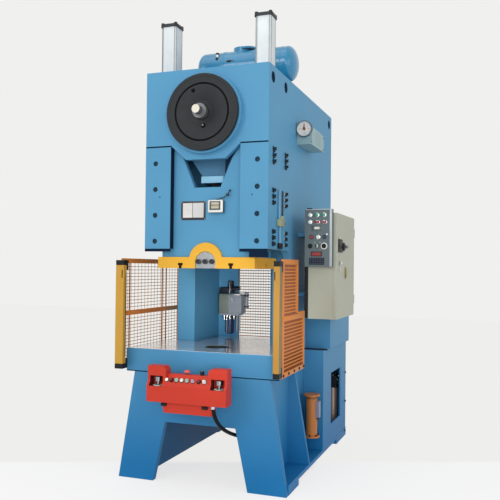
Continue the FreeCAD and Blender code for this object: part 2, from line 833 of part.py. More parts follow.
def flywheel():
    """Cast flywheel with a flat rim for the belts, six holes in its web and a running bore."""
    front = back("flywheel_front")
    rim = bar("flywheel_blank", "y", "flywheel_radius", front, "flywheel_face", z=PINION_HEIGHT)
    cuts = []
    side_depth = "(flywheel_face - flywheel_web) / 2"
    for name, start in (("front", front), ("rear", front + " + " + side_depth + " + flywheel_web")):
        ring = bar("flywheel_%s_ring" % name, "y", "flywheel_radius - flywheel_rim", start, side_depth,
                   z=PINION_HEIGHT)
        hub = bar("flywheel_%s_hub" % name, "y", "flywheel_hub_radius", start, side_depth, z=PINION_HEIGHT)
        cuts.append(remove("flywheel_%s_recess" % name, ring, [hub]))
    middle = "(flywheel_radius - flywheel_rim + flywheel_hub_radius) / 2"
    for index in range(6):
        turn = "%d" % (60 * index)
        cuts.append(bar("flywheel_hole", "y", "38", front, "flywheel_face",
                        x="%s * cos(%s)" % (middle, turn),
                        z="%s + %s * sin(%s)" % (PINION_HEIGHT, middle, turn)))
    cuts.append(bar("flywheel_bore", "y", "pinion_shaft_radius", front, "flywheel_face", z=PINION_HEIGHT))
    return remove("flywheel", rim, cuts)


def motor():
    """Foot-mounted motor: finned barrel, feet and terminal box."""
    low = back("motor_front")
    parts = [bar("motor_barrel", "y", "motor_radius", low, "motor_length", z="motor_height")]
    parts.append(block("motor_feet", ("-motor_radius - 12", "motor_radius + 12"),
                       (low + " + 50", low + " + motor_length - 50"),
                       ("shelf_bottom + plate_thick", "motor_height - motor_radius + 25")))
    parts.append(block("motor_terminal_box", ("motor_radius - 20", "motor_radius + 55"),
                       (low + " + 90", low + " + 200"), ("motor_height - 45", "motor_height + 45")))
    whole = join("motor_casing", parts)
    hole = bar("motor_shaft_hole", "y", "motor_shaft_radius + running_fit", low, "motor_length + 10",
               z="motor_height")
    return remove("motor", whole, [hole])


def motor_pulley():
    """Motor rotor shaft with the driving pulley on its rear end."""
    shaft = bar("motor_shaft_bar", "y", "motor_shaft_radius", back("motor_front + 20"),
                "flywheel_front + flywheel_face - motor_front - 30", z="motor_height")
    wheel = bar("pulley_wheel", "y", "pulley_radius", back("flywheel_front + 10"), "flywheel_face - 20",
                z="motor_height")
    return join("motor_pulley", [shaft, wheel])


def drive_belts():
    """Banded V-belts from the motor pulley up to the flywheel, a running gap off both rims."""
    gap = number("soft_gap")
    width = number("belt_width")
    start = number(back("flywheel_front")) + (number("flywheel_face") - width) / 2
    big, small = number("flywheel_radius") + gap, number("pulley_radius") + gap
    top, bottom = number(PINION_HEIGHT), number("motor_height")
    lean = math.asin((big - small) / (top - bottom))

    def loop(extra):
        upper, lower = big + extra, small + extra
        side, drop = math.cos(lean), -math.sin(lean)
        high = Vector(upper * side, 0, top + upper * drop)
        low = Vector(lower * side, 0, bottom + lower * drop)
        edges = [
            Part.Arc(high, Vector(0, 0, top + upper), Vector(-high.x, 0, high.z)).toShape(),
            Part.makeLine(Vector(-high.x, 0, high.z), Vector(-low.x, 0, low.z)),
            Part.Arc(Vector(-low.x, 0, low.z), Vector(0, 0, bottom - lower), low).toShape(),
            Part.makeLine(low, high),
        ]
        return Part.Face(Part.Wire(edges))

    band = loop(number("belt_depth")).cut(loop(0)).extrude(Vector(0, width, 0))
    item = doc.addObject("Part::Feature", "drive_belts")
    item.Shape = band
    item.Placement.Base = Vector(0, start, 0)
    return item


def connecting_rod():
    """Cast rod: ring on the crank pin, shank, wide foot and the ledge that the lock nut meets."""
    deep = (CENTRE + " - rod_width / 2", CENTRE + " + rod_width / 2")
    ring = bar("rod_ring", "y", "pin_radius + rod_ring_wall", deep[0], "rod_width", z=PIN_HEIGHT)
    ledge_top = "rod_ledge_bottom + rod_ledge_height"
    shank = [("-rod_ledge_half", ledge_top), ("rod_ledge_half", ledge_top),
             ("rod_shank_top_half", PIN_HEIGHT + " - pin_radius / 2"),
             ("-rod_shank_top_half", PIN_HEIGHT + " - pin_radius / 2")]
    web = slab("rod_shank", (CENTRE + " - rod_shank_thick / 2", CENTRE + " + rod_shank_thick / 2"), shank)
    foot = [("-rod_ledge_half", ledge_top), ("rod_ledge_half", ledge_top),
            ("rod_foot_shoulder_half", "rod_foot_shoulder"), ("rod_foot_top_half", "rod_foot_top"),
            ("-rod_foot_top_half", "rod_foot_top"), ("-rod_foot_shoulder_half", "rod_foot_shoulder")]
    wide = slab("rod_foot", (CENTRE + " - rod_foot_thick / 2", CENTRE + " + rod_foot_thick / 2"), foot)
    proud = "rod_foot_thick / 2 + rod_ledge_proud"
    ledge = block("rod_ledge", ("-rod_ledge_half", "rod_ledge_half"),
                  ("%s - (%s)" % (CENTRE, proud), "%s + %s" % (CENTRE, proud)),
                  ("rod_ledge_bottom", ledge_top))
    bore = bar("rod_bore", "y", "pin_radius", deep[0], "rod_width", z=PIN_HEIGHT)
    return remove("connecting_rod", join("rod_blank", [ring, web, wide, ledge]), [bore])


def ball_screw():
    """Die-height screw with its hexagon lock nut and the ball that presses on the slide."""
    top = "rod_ledge_bottom"
    nut = doc.addObject("Part::Prism", "lock_nut")
    nut.Polygon = 6
    nut.setExpression("Circumradius", bound("lock_nut_radius"))
    nut.setExpression("Height", bound("lock_nut_height"))
    locate(nut, "0", CENTRE, top + " - lock_nut_height")
    stem = bar("screw_stem", "z", "screw_radius", "ball_height", top + " - lock_nut_height - ball_height",
               y=CENTRE)
    ball = doc.addObject("Part::Sphere", "screw_ball")
    ball.setExpression("Radius", bound("ball_radius"))
    locate(ball, "0", CENTRE, "ball_height")
    return join("ball_screw", [nut, stem, ball])


# ---------------------------------------------------------------- slide
SLIDE_FRONT = back("front_thick + soft_gap")


def clamp_outline(gap="0"):
    """Round-topped outline of the shank clamp, as (x, z) corners."""
    half = "clamp_half_width + " + gap
    shoulder = "clamp_top - clamp_half_width"
    return [
        ("-(%s)" % half, "slide_plate_bottom"), (half, "slide_plate_bottom"),
        (half, shoulder, ("0", shoulder, "Y", 1)), ("-(%s)" % half, shoulder),
    ]


def slide():
    """Hollow cast slide with a tapered front window, balancer lugs and the ball seat."""
    body = block("slide_block", ("-slide_half_width", "slide_half_width"),
                 (SLIDE_FRONT, back("slide_back")), ("slide_bottom", "slide_top"))
    lugs = [block("slide_lug", span("slide_half_width", "lug_reach", side),
                  (back("balancer_depth - lug_width / 2"), back("balancer_depth + lug_width / 2")),
                  ("slide_top - lug_height", "slide_top")) for _, side in SIDES]
    cavity = block("slide_cavity", ("-slide_half_width + slide_wall", "slide_half_width - slide_wall"),
                   (SLIDE_FRONT + " + slide_front_wall", back("slide_back - slide_front_wall")),
                   ("slide_floor", "slide_top"))
    top_half = "window_bottom_half + window_slope * (slide_top - window_base)"
    taper = [("-window_bottom_half", "window_base"), ("window_bottom_half", "window_base"),
             (top_half, "slide_top"), ("-(%s)" % top_half, "slide_top")]
    window = slab("slide_window", (SLIDE_FRONT, SLIDE_FRONT + " + slide_front_wall"), taper)
    pocket = slab("slide_clamp_pocket", (SLIDE_FRONT, back("slide_plate_front + clamp_depth")),
                  clamp_outline("1"))
    hollowed = remove("slide_hollowed", join("slide_blank", [body] + lugs), [cavity, window, pocket])
    seat = bar("slide_seat", "z", "seat_radius", "slide_floor", "seat_top - slide_floor", y=CENTRE)
    return join("slide", [hollowed, seat])


def slide_plate():
    """Die-mounting plate under the slide: hump over the clamp, two T-slots each way, shank bore."""
    half = "hump_half_width"
    shoulder = "hump_top - hump_half_width"
    base = block("slide_plate_block", ("-slide_plate_half_width", "slide_plate_half_width"),
                 (back("slide_plate_front"), back("slide_plate_back")),
                 ("slide_plate_bottom", "slide_bottom"))
    hump = slab("slide_plate_hump",
                (back("slide_plate_front"), back("slide_plate_front + hump_thick")),
                [("-hump_half_width", "slide_bottom"), (half, "slide_bottom"),
                 (half, "slide_bottom + 1", ("0", shoulder, "Y", 1)),
                 ("-hump_half_width", "slide_bottom + 1")])
    blank = join("slide_plate_blank", [base, hump])
    arch = slab("slide_plate_arch",
                (back("slide_plate_front"), back("slide_plate_front + clamp_depth")), clamp_outline("1"))
    cuts = [arch]
    deep = (back("slide_plate_front"), back("slide_plate_back"))
    wide = ("-slide_plate_half_width", "slide_plate_half_width")
    neck_top = "slide_plate_bottom + slot_neck_height"
    for sign in ("-", ""):
        middle = sign + "slot_pitch / 2"
        cuts.append(block("slot_neck_cut", (middle + " - slot_neck / 2", middle + " + slot_neck / 2"),
                          deep, ("slide_plate_bottom", neck_top)))
        cuts.append(block("slot_head_cut", (middle + " - slot_head / 2", middle + " + slot_head / 2"),
                          deep, (neck_top, neck_top + " + slot_head_height")))
    for low, high in ((wide[0], "-(slot_pitch / 2)"), ("slot_pitch / 2", wide[1])):
        cuts.append(block("cross_neck_cut", (low, high),
                          (CENTRE + " - slot_neck / 2", CENTRE + " + slot_neck / 2"),
                          ("slide_plate_bottom", neck_top)))
        cuts.append(block("cross_head_cut", (low, high),
                          (CENTRE + " - slot_head / 2", CENTRE + " + slot_head / 2"),
                          (neck_top, neck_top + " + slot_head_height")))
    cuts.append(bar("shank_bore", "z", "shank_radius", "slide_plate_bottom",
                    "slide_bottom - slide_plate_bottom", y=CENTRE))
    return remove("slide_plate", blank, cuts)


def shank_clamp():
    """Round-topped clamp block let into the front of the slide."""
    return slab("shank_clamp", (back("slide_plate_front + 4"), back("slide_plate_front + clamp_depth")),
                clamp_outline())


def clamp_nuts():
    """Three set screws in the clamp's front face."""
    nuts = []
    for place in (-1, 0, 1):
        nut = bar("clamp_nut", "y", "clamp_nut_radius", back("slide_plate_front + 4 - clamp_nut_length"),
                  "clamp_nut_length", x="%d * clamp_screw_pitch" % place, z="clamp_screw_height")
        nuts.append(nut)
    return group("clamp_nuts", nuts)


def balancer_rods():
    """Two balancer rods on the slide's lugs, each with its piston."""
    rods = []
    for name, side in SIDES:
        across = ("-" if side < 0 else "") + BALANCER_ACROSS
        deep = back("balancer_depth")
        rod = bar(name + "_balancer_rod", "z", "balancer_rod_radius", "slide_top",
                  "piston_bottom - slide_top", x=across, y=deep)
        piston = bar(name + "_piston", "z", "balancer_bore - running_fit", "piston_bottom",
                     "piston_height", x=across, y=deep)
        rods.append(join(name + "_rod_with_piston", [rod, piston]))
    return group("balancer_rods", rods)


# ---------------------------------------------------------------- guides
def gib_cover(label, side):
    """Front retaining plate of a slide guide, with four counterbored screw holes."""
    cover = block(label + "_blank", span("cover_plate_inner", HALF, side), (HEAD_FRONT, BEHIND_PLATE),
                  ("head_bottom", "cover_plate_top"))
    holes = []
    across = ("-" if side < 0 else "") + "cover_screw_span"
    for index in range(int(number("cover_screw_count"))):
        height = "cover_screw_bottom + %d * cover_screw_pitch" % index
        holes.append(bar(label + "_counterbore", "y", "cover_screw_head + 1", HEAD_FRONT,
                         "cover_screw_recess", x=across, z=height))
        holes.append(bar(label + "_screw_hole", "y", "cover_screw_shank", HEAD_FRONT, "front_thick",
                         x=across, z=height))
    return remove(label, cover, holes)


def slide_ways():
    """Four guide bars fixed inside the side plates; the rear pair has a lip behind the slide."""
    tall = ("head_bottom", "cover_plate_top")
    ways = []
    for name, side in SIDES:
        across = span("slide_half_width + running_fit", INNER, side)
        front = (BEHIND_PLATE, back("front_thick + way_length"))
        ways.append(block(name + "_front_way", across, front, tall))
        rear = block(name + "_rear_bar", across,
                     (back("slide_back - way_length"), back("middle_wall_depth")), tall)
        lip = block(name + "_rear_lip", span("way_lip", INNER, side),
                    (back("slide_back + running_fit"), back("middle_wall_depth")), tall)
        ways.append(join(name + "_rear_way", [rear, lip]))
    return group("slide_ways", ways)


def guide_screws():
    """Socket screws in the gib covers and hexagon set screws through the side plates."""
    screws = []
    for name, side in SIDES:
        sign = "-" if side < 0 else ""
        for index in range(int(number("cover_screw_count"))):
            height = "cover_screw_bottom + %d * cover_screw_pitch" % index
            head = bar("socket_head", "y", "cover_screw_head", back("2"), "cover_screw_recess - 2",
                       x=sign + "cover_screw_span", z=height)
            shank = bar("socket_shank", "y", "cover_screw_shank", back("cover_screw_recess"),
                        "front_thick - cover_screw_recess", x=sign + "cover_screw_span", z=height)
            screws.append(join("cover_screw", [head, shank]))
        across = span(HALF, HALF + " + side_screw_length", side)
        for deep in ("side_screw_front", "side_screw_back"):
            for start in ("side_screw_low", "side_screw_middle", "side_screw_high"):
                for index in range(3):
                    screws.append(bar("side_screw", "x", "side_screw_radius", across[0],
                                      "side_screw_length", y=back(deep),
                                      z="%s + %d * side_screw_pitch" % (start, index)))
    return group("guide_screws", screws)


# ---------------------------------------------------------------- bolster, balancers, receiver
def bolster():
    """Thick ground plate; its tongue fills the table between the columns."""
    corners = [
        ("-bolster_width / 2", back("-leg_setout")), ("bolster_width / 2", back("-leg_setout")),
        ("bolster_width / 2", back("bolster_back")), ("bolster_tongue_half", back("bolster_back")),
        ("bolster_tongue_half", back("bolster_tongue_back")),
        ("-bolster_tongue_half", back("bolster_tongue_back")),
        ("-bolster_tongue_half", back("bolster_back")), ("-bolster_width / 2", back("bolster_back")),
    ]
    return plate("bolster", "XY", corners, BED_TOP, BOLSTER_TOP, [("0", CENTRE, "drop_hole_radius")])


def rounded_square(half, corner, across, deep):
    """Corners of a square with arcs, as (x, y)."""
    signs = [(1, -1), (1, 1), (-1, 1), (-1, -1)]
    corners = []
    for u, v in signs:
        flat = "(%s) - (%s)" % (half, corner)
        cu, cv = "%s + %d * (%s)" % (across, u, flat), "%s + %d * (%s)" % (deep, v, flat)
        outer_u, outer_v = "%s + %d * (%s)" % (across, u, half), "%s + %d * (%s)" % (deep, v, half)
        first, second = ((cu, outer_v), (outer_u, cv)) if u * v < 0 else ((outer_u, cv), (cu, outer_v))
        corners.append(first + ((cu, cv, "X", 1),))
        corners.append(second)
    return corners


def balancer_tube(label, side):
    """Extruded square tube of a balancer cylinder, standing on the head."""
    across = ("-" if side < 0 else "") + BALANCER_ACROSS
    corners = rounded_square("balancer_side / 2", "balancer_corner", across, back("balancer_depth"))
    return plate(label, "XY", corners, "head_top", "head_top + balancer_height",
                 [(across, back("balancer_depth"), "balancer_bore")])


def balancer_caps():
    """Cast end caps of the balancer cylinders, each held by four tie-rod nuts."""
    caps = []
    low = "head_top + balancer_height"
    for name, side in SIDES:
        across = ("-" if side < 0 else "") + BALANCER_ACROSS
        deep = back("balancer_depth")
        corners = rounded_square("cap_side / 2", "balancer_corner", across, deep)
        parts = [plate(name + "_cap", "XY", corners, low, low + " + cap_thick")]
        offset = "(cap_side / 2 - cap_nut_radius - 3)"
        for u in (-1, 1):
            for v in (-1, 1):
                parts.append(bar(name + "_cap_nut", "z", "cap_nut_radius", low + " + cap_thick",
                                 "cap_nut_height", x="%s + %d * %s" % (across, u, offset),
                                 y="%s + %d * %s" % (deep, v, offset)))
        caps.append(join(name + "_balancer_cap", parts))
    return group("balancer_caps", caps)


def air_tank():
    """Air receiver across the head: rolled shell, dished ends, saddle feet and a top port."""
    barrel = "tank_half_length - tank_crown"
    deep = back("tank_depth")
    foot_depth = (back("tank_depth - tank_foot_depth / 2"), back("tank_depth + tank_foot_depth / 2"))
    parts = [bar("tank_shell", "x", "tank_radius", "tank_shift - (%s)" % barrel,
                 "2 * (%s)" % barrel, y=deep,
                 z="tank_height")]
    for sign in ("-", ""):
        end = doc.addObject("Part::Ellipsoid", "tank_end")
        end.setExpression("Radius1", bound("tank_crown"))
        end.setExpression("Radius2", bound("tank_radius"))
        end.setExpression("Radius3", bound("tank_radius"))
        end.Placement = FreeCAD.Placement(Vector(), TURN["x"])
        locate(end, "tank_shift + %s1 * (%s)" % (sign, barrel), deep, "tank_height")
        parts.append(end)
        middle = "tank_shift + %s1 * tank_foot_span" % sign
        parts.append(block("tank_foot",
                           (middle + " - tank_foot_width / 2", middle + " + tank_foot_width / 2"),
                           foot_depth,
                           ("head_top", "tank_height - tank_radius / 2")))
    parts.append(bar("tank_port", "z", "tank_port_radius", "tank_height",
                     "tank_radius + tank_port_height", y=deep))
    return join("air_tank", parts)


# ---------------------------------------------------------------- light curtain and guards
def curtain_post(label, side, width):
    across = span("post_span - " + width, "post_span", side)
    return block(label, across, (back("-post_front"), back("post_depth - post_front")),
                 ("post_bottom", "post_bottom + post_height"))


def curtain_brackets():
    """Four brackets that hold the light-curtain posts to the side guards."""
    brackets = []
    for name, side in SIDES:
        width = name + "_post_width"
        across = span("post_span - " + width, "post_span", side)
        deep = (back("-post_front"), back("post_depth - post_front"))
        behind = (deep[1], back("post_depth - post_front + 22"))
        for low in ("post_bottom - bracket_below", "post_bottom + post_height"):
            cap = block("bracket_cap", across, deep, (low, low + " + bracket_below"))
            if "post_height" in low:
                arm = (low + " - bracket_below", low + " + bracket_below")
            else:
                arm = (low, low + " + 2 * bracket_below")
            brackets.append(join("curtain_bracket", [cap, block("bracket_arm", across, behind, arm)]))
    return group("curtain_brackets", brackets)


def lattice(name, across, low_deep, high_deep, low, high, columns, rows):
    """Rectangular gaps, evenly spread over a field of a guard."""
    gaps = []
    for column in range(columns):
        for row in range(rows):
            wide = "((%s) - (%s) - %d * guard_wire) / %d" % (high_deep, low_deep, columns - 1, columns)
            tall = "((%s) - (%s) - %d * guard_wire) / %d" % (high, low, rows - 1, rows)
            start = "%s + %d * (%s + guard_wire)" % (low_deep, column, wide)
            foot = "%s + %d * (%s + guard_wire)" % (low, row, tall)
            gaps.append(block(name, across, (start, start + " + " + wide), (foot, foot + " + " + tall)))
    return gaps


def side_guard(label, side):
    """Side guard: flat-bar frame, middle rail and a wire field above and below it."""
    start = back("post_depth - post_front + 22")
    across = span("post_span - guard_thick", "post_span", side)
    top = "guard_bottom + guard_height"
    if side > 0:
        depth = back("guard_right_depth")
        upper = back("guard_right_step_depth")
        corners = [(start, "guard_bottom"), (depth, "guard_bottom"), (depth, "guard_step"),
                   (upper, "guard_step"), (upper, top), (start, top)]
        fields = [(start, depth, "guard_bottom", "guard_rail", 4, 6),
                  (start, upper, "guard_rail + guard_bar", top, 3, 7)]
    else:
        depth = back("guard_left_depth")
        corners = [(start, "guard_bottom"), (depth, "guard_bottom"), (depth, top), (start, top)]
        fields = [(start, depth, "guard_bottom", "guard_rail", 6, 6),
                  (start, depth, "guard_rail + guard_bar", top, 6, 7)]
    panel = plate(label + "_panel", "YZ", corners, across[0], across[1])
    gaps = []
    for low_deep, high_deep, low, high, columns, rows in fields:
        bottom = low + " + guard_bar" if low == "guard_bottom" else low
        ceiling = high + " - guard_bar" if high == top else high
        gaps += lattice(label + "_gap", across, low_deep + " + guard_bar", high_deep + " - guard_bar",
                        bottom, ceiling, columns, rows)
    framed = remove(label + "_frame", panel, gaps)
    spacer = block(label + "_spacer", span("bolster_width / 2", "post_span - guard_thick", side),
                   (back("20"), back("bolster_back - 120")), ("guard_bottom + 40", "guard_bottom + 70"))
    return join(label, [framed, spacer])


def rear_guard():
    """Wire guard across the opening between the columns."""
    half = "rear_opening / 2"
    deep = (back("column_back + plate_thick"), back("column_back + plate_thick + rear_guard_thick"))
    across = ("-(%s) - guard_bar" % half, half + " + guard_bar")
    panel = block("rear_guard_panel", across, deep, (BOLSTER_TOP, "rear_guard_top"))
    gaps = []
    columns, rows = 2, 16
    for column in range(columns):
        for row in range(rows):
            wide = "(rear_opening - guard_wire) / %d" % columns
            tall = "(rear_guard_top - (%s) - 2 * guard_bar - %d * guard_wire) / %d" % (
                BOLSTER_TOP, rows - 1, rows)
            left = "-(%s) + %d * (%s + guard_wire)" % (half, column, wide)
            foot = "%s + guard_bar + %d * (%s + guard_wire)" % (BOLSTER_TOP, row, tall)
            gaps.append(block("rear_guard_gap", (left, left + " + " + wide), deep,
                              (foot, foot + " + " + tall)))
    return remove("rear_guard", panel, gaps)


# ---------------------------------------------------------------- two-hand control and hose
CONTROL_BACK = back("-control_back")
HORN_FRONT = back("horn_setback - control_front")
BOX_DECK_DEPTH = back("-control_back - 18")
BOX_BUTTONS = 3


def square_to_panel(name, index, radius, length, start):
    """A round bar square to the sloped panel, at a button's place."""
    slope, rise = number("control_slope"), number("control_deck") - number("control_lip")
    outward = Vector(0, -rise, slope).normalize()
    item = doc.addObject("Part::Cylinder", name)
    item.setExpression("Radius", bound(radius))
    item.setExpression("Height", bound(length))
    item.Placement = FreeCAD.Placement(Vector(), FreeCAD.Rotation(Vector(0, 0, 1), outward))
    run = "sqrt(control_slope ^ 2 + (control_deck - control_lip) ^ 2)"
    locate(item, "box_button_start + %d * box_button_pitch" % index,
           "%s + control_slope / 2 - (%s) * (control_deck - control_lip) / %s"
           % (back("-control_front"), start, run),
           "(control_lip + control_deck) / 2 + (%s) * control_slope / %s" % (start, run))
    return item


def control_box():
    """Cast two-hand control: sloped panel between two horns, palm recesses and a lower tray."""
    front = back("-control_front")
    body = plate("control_body", "YZ",
                 [(CONTROL_BACK, "control_bottom"), (CONTROL_BACK, "control_deck"),
                  (front + " + control_slope", "control_deck"), (front, "control_lip"),
                  (front, "control_bottom")],
                 "-control_half_width", "control_half_width")
    parts = [body]
    for name, side in SIDES:
        shoulder = "horn_top - horn_radius"
        horn = [("horn_inner", "control_bottom"), ("control_half_width", "control_bottom"),
                ("control_half_width", "horn_top"),
                ("horn_inner + horn_radius", "horn_top",
                 ("horn_inner + horn_radius", shoulder, "Y", 1)),
                ("horn_inner", shoulder)]
        if side < 0:
            horn[3] = ("horn_inner + horn_radius", "horn_top",
                       ("-(horn_inner + horn_radius)", shoulder, "Y", -1))
        parts.append(slab(name + "_horn", (HORN_FRONT, CONTROL_BACK), horn, side))
    tray = [("-tray_half_bottom", "tray_bottom"), ("tray_half_bottom", "tray_bottom"),
            ("tray_half_top", "control_bottom"), ("-tray_half_top", "control_bottom")]
    parts.append(slab("control_tray", (front + " + tray_setback", CONTROL_BACK), tray))
    parts.append(block("control_arm", ("-arm_half_width", "arm_half_width"),
                       (CONTROL_BACK, back("-leg_setout")), ("arm_bottom", "arm_bottom + arm_height")))
    whole = join("control_casting", parts)
    cuts = []
    for name, side in SIDES:
        middle = ("-" if side < 0 else "") + "palm_span"
        cuts.append(block(name + "_palm_recess",
                          (middle + " - palm_recess_width / 2", middle + " + palm_recess_width / 2"),
                          (front, HORN_FRONT + " + palm_recess_depth"),
                          ("control_lip - 6", "palm_recess_top")))
        cuts.append(bar(name + "_palm_socket", "z", "palm_radius / 2 + soft_gap",
                        "control_lip - 6 - socket_depth", "socket_depth", x=middle,
                        y=HORN_FRONT + " + palm_setback"))
    cuts.append(bar("stop_socket", "z", "stop_radius / 2 + soft_gap", "control_deck - socket_depth",
                    "socket_depth", x="stop_across", y=BOX_DECK_DEPTH))
    for index in range(BOX_BUTTONS):
        cuts.append(square_to_panel("button_socket", index, "box_button_radius + soft_gap",
                                    "socket_depth", "-socket_depth"))
    return remove("control_box", whole, cuts)


def palm_button(label, side):
    """Palm button that stands in its recess and is pressed down."""
    across = ("-" if side < 0 else "") + "palm_span"
    low = "control_lip - 6"
    deep = HORN_FRONT + " + palm_setback"
    stem = bar(label + "_stem", "z", "palm_radius / 2", low, "palm_height / 2", x=across, y=deep)
    head = bar(label + "_head", "z", "palm_radius", low + " + palm_height / 2", "palm_height / 2",
               x=across, y=deep)
    return join(label, [stem, head])




def stop_button():
    """Red mushroom button on the deck of the control box."""
    stem = bar("stop_stem", "z", "stop_radius / 2", "control_deck", "stop_height / 2",
               x="stop_across", y=BOX_DECK_DEPTH)
    head = bar("stop_head", "z", "stop_radius", "control_deck + stop_height / 2", "stop_height / 2",
               x="stop_across", y=BOX_DECK_DEPTH)
    return join("stop_button", [stem, head])


def mode_knob():
    """Round selector knob with a grip rib, beside the stop button."""
    base = bar("mode_base", "z", "knob_radius", "control_deck", "knob_height / 2", x="knob_across",
               y=BOX_DECK_DEPTH)
    grip = block("mode_grip", ("knob_across - 4", "knob_across + 4"),
                 (BOX_DECK_DEPTH + " - knob_radius + 1", BOX_DECK_DEPTH + " + knob_radius - 1"),
                 ("control_deck + knob_height / 2", "control_deck + knob_height"))
    return join("mode_knob", [base, grip])


def box_button(label, index):
    """Push button on the sloped panel, square to it."""
    return square_to_panel(label, index, "box_button_radius", "box_button_height", "0")


HOSE_ROUTE = [
    (166, -227, 513), (173, -218, 460), (187, -191, 415), (197, -147, 381), (202, -97, 357),
    (205, -45, 335), (213, 6, 316), (240, 47, 300), (283, 79, 291), (336, 93, 288),
]


def route_point(point):
    return Vector(point[0], point[1] - number("(frame_depth - leg_setout) / 2"), point[2])


def hose():
    """Control hose: straight runs joined by tangent arcs, through the arch to the right side plate."""
    points = [route_point(p) for p in HOSE_ROUTE]
    edges, start, length = [], points[0], 0.0
    radii = []
    for before, here, after in zip(points, points[1:], points[2:]):
        first, second = here - before, after - here
        turn = first.getAngle(second)
        shorter = min(first.Length, second.Length)
        radius = 0.45 * shorter / math.tan(turn / 2)
        radii.append(radius)
        reach = 0.45 * shorter
        toward = Vector(first).normalize()
        away = Vector(second).normalize()
        entry, leave = here - toward * reach, here + away * reach
        middle_way = (entry + leave) * 0.5
        corner_way = (middle_way - here).normalize()
        centre = here + corner_way * (radius / math.cos(turn / 2))
        middle = centre - corner_way * radius
        edges.append(Part.LineSegment(start, entry).toShape())
        edges.append(Part.Arc(entry, middle, leave).toShape())
        start = leave
    edges.append(Part.LineSegment(start, points[-1]).toShape())
    path = Part.Wire(edges)
    radius = number("hose_radius")
    ring = Part.Wire(Part.makeCircle(radius, points[0], points[1] - points[0]))
    tube = path.makePipeShell([ring], True, False)
    expected = math.pi * radius ** 2 * path.Length
    print("hose length %.0f, volume ratio %.4f, radii %s"
          % (path.Length, tube.Volume / expected, [round(r) for r in radii]))
    item = doc.addObject("Part::Feature", "hose")
    item.Shape = tube
    return item


def hose_glands():
    """Screwed glands at both ends of the hose."""
    first, second = route_point(HOSE_ROUTE[0]), route_point(HOSE_ROUTE[-1])
    upper = bar("upper_gland", "z", "gland_radius", "control_bottom - upper_gland_length",
                "upper_gland_length",
                x="%g" % first.x, y="%.1f" % first.y)
    lower = bar("lower_gland", "x", "lower_gland_radius", "%g" % second.x, INNER + " - %g" % second.x,
                y="%.1f" % second.y, z="%g" % second.z)
    return group("hose_glands", [upper, lower])


# ---------------------------------------------------------------- angle indicator and cabinet
def angle_box():
    """Crank-angle indicator: cast box on the side plate with a round dial on its front."""
    corners = [(HALF, "angle_bottom"), (HALF + " + angle_reach", "angle_bottom"),
               (HALF + " + angle_reach", "angle_top - angle_chamfer"),
               (HALF + " + angle_reach - angle_chamfer", "angle_top"), (HALF, "angle_top")]
    body = slab("angle_body", (back("angle_front"), back("angle_back")), corners)
    dial = bar("angle_dial", "y", "dial_radius", back("angle_front - dial_thick"), "dial_thick",
               x="dial_across", z="dial_height")
    recess = bar("dial_recess", "y", "dial_radius - 5", back("angle_front - dial_thick"), "6",
                 x="dial_across", z="dial_height")
    return remove("angle_box", join("angle_casting", [body, dial]), [recess])


def angle_pointer():
    """Pointer of the crank-angle dial: hub and tapered hand."""
    deep = (back("angle_front - dial_thick + 0.5"), back("angle_front - dial_thick + 0.5 + pointer_thick"))
    hub = bar("pointer_boss", "y", "pointer_hub", deep[0], "pointer_thick + 0.5", x="dial_across",
              z="dial_height")
    hand = slab("pointer_hand", deep,
                [("dial_across - 5", "dial_height"), ("dial_across + 5", "dial_height"),
                 ("dial_across + 1.5", "dial_height + pointer_length"),
                 ("dial_across - 1.5", "dial_height + pointer_length")])
    return join("angle_pointer", [hub, hand])


HINGE_ACROSS = "cabinet_outer - 4"
HINGE_DEPTH = back("cabinet_back + 8")


def hinge_half(name, height, reach):
    """Knuckle and leaf of one hinge half; `reach` is the leaf's range across the press."""
    knuckle = bar(name + "_knuckle", "z", "hinge_radius", height, "hinge_length", x=HINGE_ACROSS,
                  y=HINGE_DEPTH)
    leaf = block(name + "_leaf", reach, (back("cabinet_back"), back("cabinet_back + hinge_leaf")),
                 (height, height + " + hinge_length"))
    return [knuckle, leaf]


def cabinet_body():
    """Electrical cabinet of folded sheet, open on its right, with the fixed hinge halves."""
    wall = "cabinet_wall"
    outer = block("cabinet_outside", ("cabinet_inner", "cabinet_outer - door_thick - door_gap"),
                  (back("cabinet_front"), back("cabinet_back")), ("cabinet_bottom", "cabinet_top"))
    inner = block("cabinet_inside", ("cabinet_inner + " + wall, "cabinet_outer"),
                  (back("cabinet_front + " + wall), back("cabinet_back - " + wall)),
                  ("cabinet_bottom + " + wall, "cabinet_top - " + wall))
    parts = [remove("cabinet_shell", outer, [inner])]
    for height in ("hinge_low", "hinge_high"):
        parts += hinge_half("fixed", height, ("cabinet_outer - 50", HINGE_ACROSS))
        parts.append(bar("hinge_pin", "z", "hinge_pin_radius - running_fit", height,
                         "2 * hinge_length", x=HINGE_ACROSS, y=HINGE_DEPTH))
    return join("cabinet_body", parts)


def cabinet_door():
    """Flat cabinet door on the right-hand side, hinged at the back."""
    parts = [block("door_sheet", ("cabinet_outer - door_thick", "cabinet_outer"),
                   (back("cabinet_front"), back("cabinet_back")), ("cabinet_bottom", "cabinet_top"))]
    bores = []
    for height in ("hinge_low + hinge_length + soft_gap", "hinge_high + hinge_length + soft_gap"):
        parts += hinge_half("door", height, ("cabinet_outer - 11", "cabinet_outer"))
        bores.append(bar("hinge_bore", "z", "hinge_pin_radius", height, "hinge_length", x=HINGE_ACROSS,
                         y=HINGE_DEPTH))
    return remove("cabinet_door", join("door_with_leaves", parts), bores)


